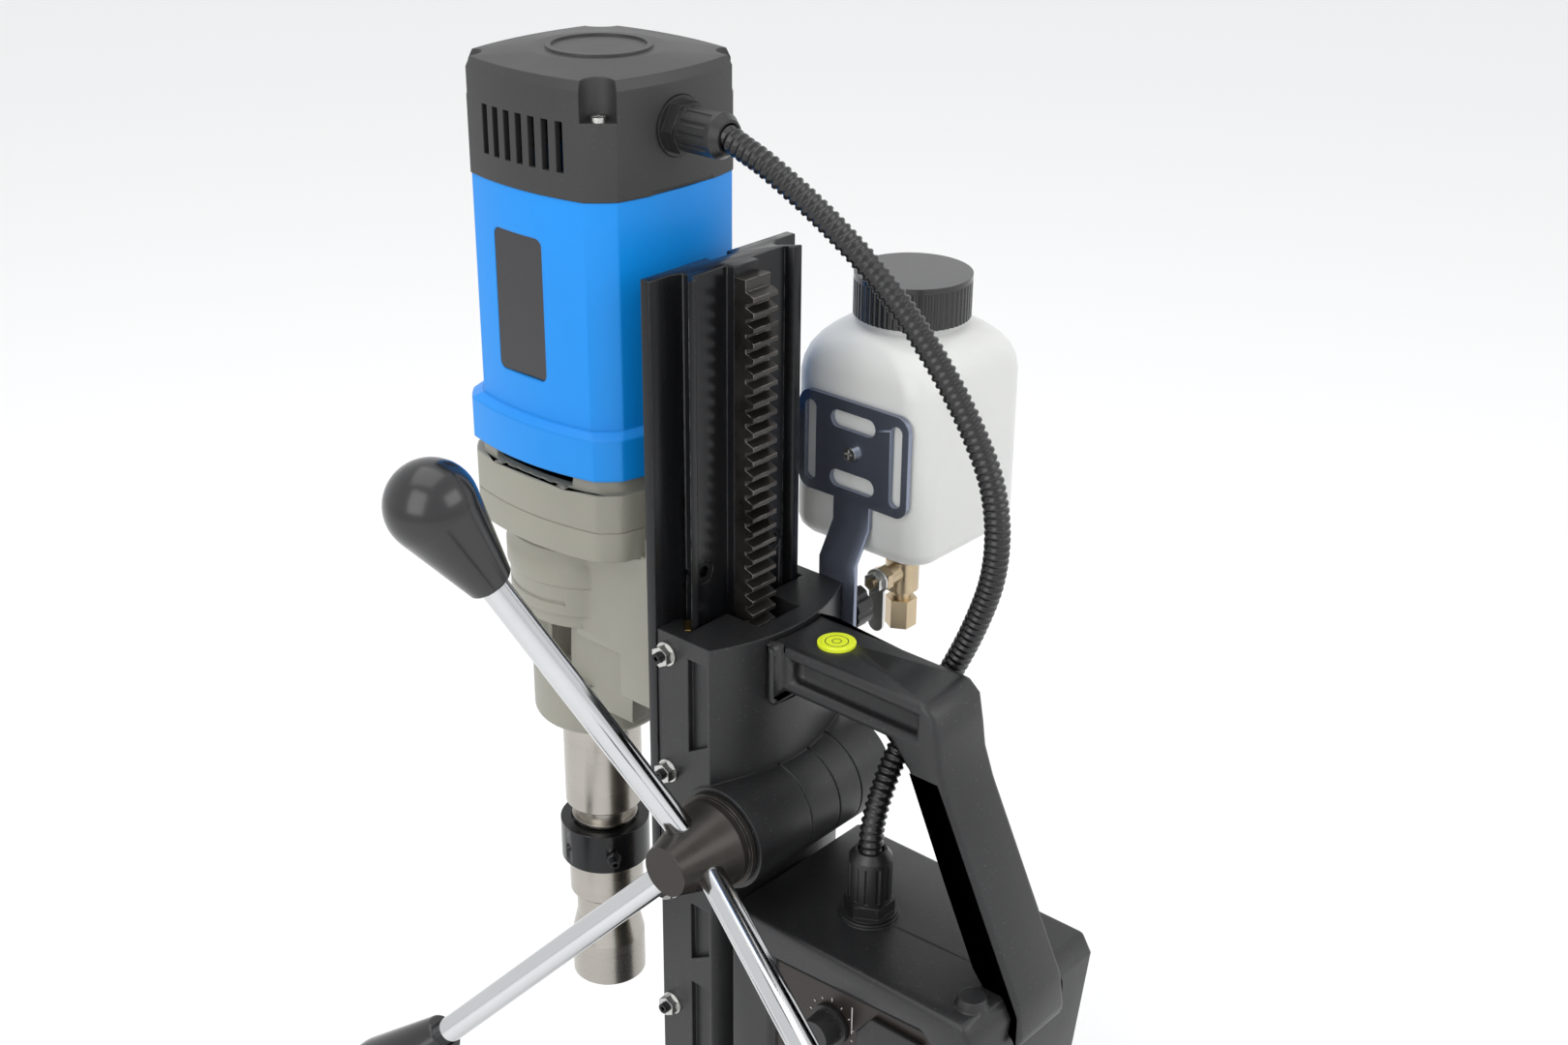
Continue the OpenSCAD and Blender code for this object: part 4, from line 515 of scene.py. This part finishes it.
shader = bottle_plastic.node_tree.nodes["Principled BSDF"]
shader.inputs["Subsurface Weight"].default_value = 0.5
shader.inputs["Subsurface Radius"].default_value = (0.02, 0.018, 0.016)
shader.inputs["Subsurface Scale"].default_value = 0.5
bottle_wall = 0.0016
# height above the bottle's foot, half width and corner radius of each section, in mm
bottle_sections = ((0.2, 33, 9), (1.2, 37, 11), (3.5, 41.5, 13), (7, 44.6, 14.5), (12, 46, 15),
                   (96, 46, 16), (103, 45.4, 17.5), (109, 44, 20), (114, 41.6, 23.5),
                   (118, 38.2, 27), (120.8, 34.4, 30), (122.4, 31, 30.5), (123.2, 28.6, 28.5),
                   (124.6, 28, 28), (144, 28, 28))
bottle_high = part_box("bottle")[1]
cap_low, cap_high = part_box("bottle_cap")
bottle_middle = Vector(((cap_low.x + cap_high.x) / 2, (cap_low.y + cap_high.y) / 2, 0))
bottle_height = 0.145
bottle_foot = bottle_high.z - bottle_height
shell = bmesh.new()
bmesh.ops.create_circle(shell, cap_ends=False, segments=72, radius=1.0,
                        matrix=Matrix.Rotation(math.radians(2.5), 4, "Z"))
section_edges = list(shell.edges)
for i, (height, half, corner) in enumerate(bottle_sections):
    if i:
        grown = bmesh.ops.extrude_edge_only(shell, edges=section_edges)["geom"]
        section = [g for g in grown if isinstance(g, bmesh.types.BMVert)]
        section_edges = [g for g in grown if isinstance(g, bmesh.types.BMEdge)
                         and all(v in section for v in g.verts)]
    else:
        section = list(shell.verts)
        unit_section = {v: v.co.copy() for v in section}
    if i:
        unit_section = {v: unit_section[next(e.other_vert(v) for e in v.link_edges
                                             if e.other_vert(v) in unit_section)]
                        for v in section}
    for v, unit in unit_section.items():
        v.co = bottle_middle + Vector((math.copysign(half - corner, unit.x) + corner * unit.x,
                                       math.copysign(half - corner, unit.y) + corner * unit.y,
                                       0)) / 1000 + Vector((0, 0, bottle_foot + height / 1000))
lowest = min(v.co.z for v in shell.verts)
bmesh.ops.holes_fill(shell, edges=[e for e in shell.edges if e.is_boundary
                                   and e.verts[0].co.z < lowest + 0.0005], sides=0)
bmesh.ops.recalc_face_normals(shell, faces=shell.faces)
bottle = make_piece("bottle_blown", shell, 60.0)
for polygon in bottle.data.polygons:
    polygon.use_smooth = True
wall = bottle.modifiers.new("wall", "SOLIDIFY")
wall.thickness = bottle_wall
wall.offset = -1.0
bottle.data.materials.append(bottle_plastic)
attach(bottle, "frame")
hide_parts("bottle")

# Two stubs moulded on the bottle take the bracket's screw and the valve.
screw_low, screw_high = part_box("bottle_screw")
valve_stub_radius, valve_stub_length, valve_stub_drop = 0.008, 0.0118, 0.0031
screw_stub_radius, screw_stub_length, screw_stub_x = 0.006, 0.004, 0.044
stubs = bmesh.new()
bmesh.ops.create_cone(
    stubs, cap_ends=True, segments=32, radius1=valve_stub_radius, radius2=valve_stub_radius,
    depth=valve_stub_length,
    matrix=Matrix.Translation((bottle_middle.x, bottle_middle.y, bottle_foot - valve_stub_drop)))
bmesh.ops.create_cone(
    stubs, cap_ends=True, segments=32, radius1=screw_stub_radius, radius2=screw_stub_radius,
    depth=screw_stub_length,
    matrix=Matrix.Translation((bottle_middle.x + screw_stub_x, (screw_low.y + screw_high.y) / 2,
                               (screw_low.z + screw_high.z) / 2))
    @ Matrix.Rotation(math.radians(90), 4, "Y"))
bottle_stubs = make_piece("bottle_stubs", stubs)
bottle_stubs.data.materials.append(bottle_plastic)
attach(bottle_stubs, "frame")

# ---------------------------------------------------------------- slide and rack
# The slide is an extruded aluminium dovetail, black anodised and ground on its ways. A steel rack
# with oily black teeth is screwed down its back.
soft_copy("slide_plate", machined_black, 0.0006)
rack_steel = finish("rack_steel", (0.085, 0.08, 0.074), 0.34, metal=0.85, shade=0.45, spread=0.12,
                    grain=500, stretch=(0.6, 3, 3), depth=0.05, edge=0.0005, wear=1.0,
                    worn=(0.34, 0.32, 0.28))
paint(rack_steel, "rack")
paint(black_steel, "slide_screws")

# ---------------------------------------------------------------- gear case
# The gear case and its cover are aluminium castings painted a warm grey. The case steps down in
# turned rings to an open neck and the nose that holds the spindle bearing.
case_paint = finish("case_paint", (0.275, 0.268, 0.222), 0.42, shade=0.88, spread=0.08, grain=480,
                    depth=0.11, edge=0.0011, wear=0.08, worn=(0.5, 0.5, 0.46), speck=0.05)
soft_copy("gear_case", case_paint, 0.0009)
soft_copy("gear_case_cover", case_paint, 0.0008)

# ---------------------------------------------------------------- motor
# The motor housing is a casting in bright blue satin paint, flared at its foot. The cap over the
# brushes is moulded in dark grey filled plastic, with slots at the sides and four screws.
motor_blue = finish("motor_blue", (0.002, 0.24, 0.72), 0.38, shade=0.94, spread=0.05, grain=650,
                    depth=0.05, edge=0.002, specular=0.36, speck=0.01)
cap_plastic = finish("cap_plastic", (0.026, 0.026, 0.0255), 0.47, shade=0.85, spread=0.06,
                     grain=800, depth=0.13, edge=0.0011, speck=0.05)
paint(motor_blue, "motor_housing")
paint(cap_plastic, "motor_cap")
paint(zinc_steel, "cap_screws")
label_film = finish("label_film", (0.012, 0.012, 0.014), 0.25, shade=0.9, grain=1500, depth=0.01,
                    edge=0.0004, coat=0.3)
paint(label_film, "motor_label")
lamination = finish("lamination", (0.3, 0.3, 0.32), 0.4, metal=1.0, grain=1600,
                    stretch=(0.2, 0.2, 6), depth=0.2)
carbon = finish("carbon", (0.02, 0.02, 0.02), 0.6, grain=900, depth=0.05)
bearing_steel = finish("bearing_steel", (0.6, 0.6, 0.6), 0.2, metal=1.0, shade=0.8, grain=900,
                       stretch=(1, 1, 6), depth=0.01)
fan_moulding = finish("fan_moulding", (0.04, 0.04, 0.04), 0.5, grain=900, depth=0.05)
paint(lamination, "stator_core", "armature_core")
paint(carbon, "carbon_brushes")
paint(bearing_steel, "motor_bearings", "spindle_bearings", "armature_shaft", "layshaft",
      "layshaft_gear", "spindle_gear")
paint(copper_wire, "commutator")
paint(fan_moulding, "cooling_fan")

# ---------------------------------------------------------------- spindle and arbor
# The spindle sleeve and the arbor are turned steel with fine lathe rings, slightly warm with oil.
# The coolant ring round them is black.
turned_steel = finish("turned_steel", (0.45, 0.425, 0.385), 0.27, metal=1.0, shade=0.86,
                      spread=0.05, grain=420, stretch=(0.15, 0.15, 7), depth=0.02, blotch=4,
                      edge=0.0006)
paint(turned_steel, "spindle", "arbor")
paint(black_steel, "arbor_screws")
soft_copy("coolant_ring", machined_black, 0.0008)

# ---------------------------------------------------------------- capstan
# Three chromed rods are screwed into a black turned hub at a lean. Each ends in a black gloss grip
# moulded as a pear. The pinion is cut on the same shaft.
chrome_rod = finish("chrome_rod", (0.6, 0.61, 0.62), 0.11, metal=1.0, shade=0.94, spread=0.03,
                    grain=160, depth=0.004, edge=0.0004)
grip_gloss = finish("grip_gloss", (0.0115, 0.0115, 0.0125), 0.22, shade=0.85, spread=0.05,
                    grain=300, depth=0.03, edge=0.0006, coat=0.2)
hub_steel = finish("hub_steel", (0.055, 0.05, 0.045), 0.3, metal=0.8, shade=0.7, spread=0.08,
                   grain=420, stretch=(7, 0.15, 0.15), depth=0.02, blotch=4, edge=0.0006, wear=0.4,
                   worn=(0.16, 0.15, 0.14))
paint(bearing_steel, "feed_shaft")
paint(hub_steel, "capstan_hub")
paint(chrome_rod, "capstan_arms")
paint(grip_gloss, "arm_grips")

# ---------------------------------------------------------------- floor and lights
# A pale floor carries on past the view, and three wide lamps light the press softly.
floor_half_width = 6.0
floor_mesh = bmesh.new()
bmesh.ops.create_grid(floor_mesh, x_segments=1, y_segments=1, size=floor_half_width)
floor = make_piece("floor", floor_mesh)
floor_paint = bpy.data.materials.new("floor_paint")
floor_paint.use_nodes = True
floor_shader = floor_paint.node_tree.nodes["Principled BSDF"]
floor_shader.inputs["Base Color"].default_value = (0.86, 0.86, 0.86, 1)
floor_shader.inputs["Roughness"].default_value = 0.6
floor.data.materials.append(floor_paint)

world = bpy.data.worlds.new("studio")
world.use_nodes = True
world.node_tree.nodes["Background"].inputs["Color"].default_value = (0.985, 0.99, 1.0, 1)
world.node_tree.nodes["Background"].inputs["Strength"].default_value = 0.98
bpy.context.scene.world = world
bpy.context.scene.view_settings.view_transform = "Standard"


def lamp(name, place, aim, width, height, watts):
    data = bpy.data.lights.new(name, "AREA")
    data.shape = "RECTANGLE"
    data.size = width
    data.size_y = height
    data.energy = watts
    lamp_object = bpy.data.objects.new(name, data)
    lamp_object.location = place
    lamp_object.rotation_euler = (Vector(aim) - Vector(place)).to_track_quat("-Z", "Y").to_euler()
    bpy.context.scene.collection.objects.link(lamp_object)


lamp("lamp_right", (1.6, 0.2, 1.3), (0, -0.05, 0.4), 1.2, 1.6, 13)
lamp("lamp_rear", (-0.6, 1.7, 1.5), (0, -0.05, 0.4), 1.6, 1.0, 11)
lamp("lamp_top", (0.1, -0.4, 2.2), (0, -0.1, 0.4), 1.6, 1.6, 11)
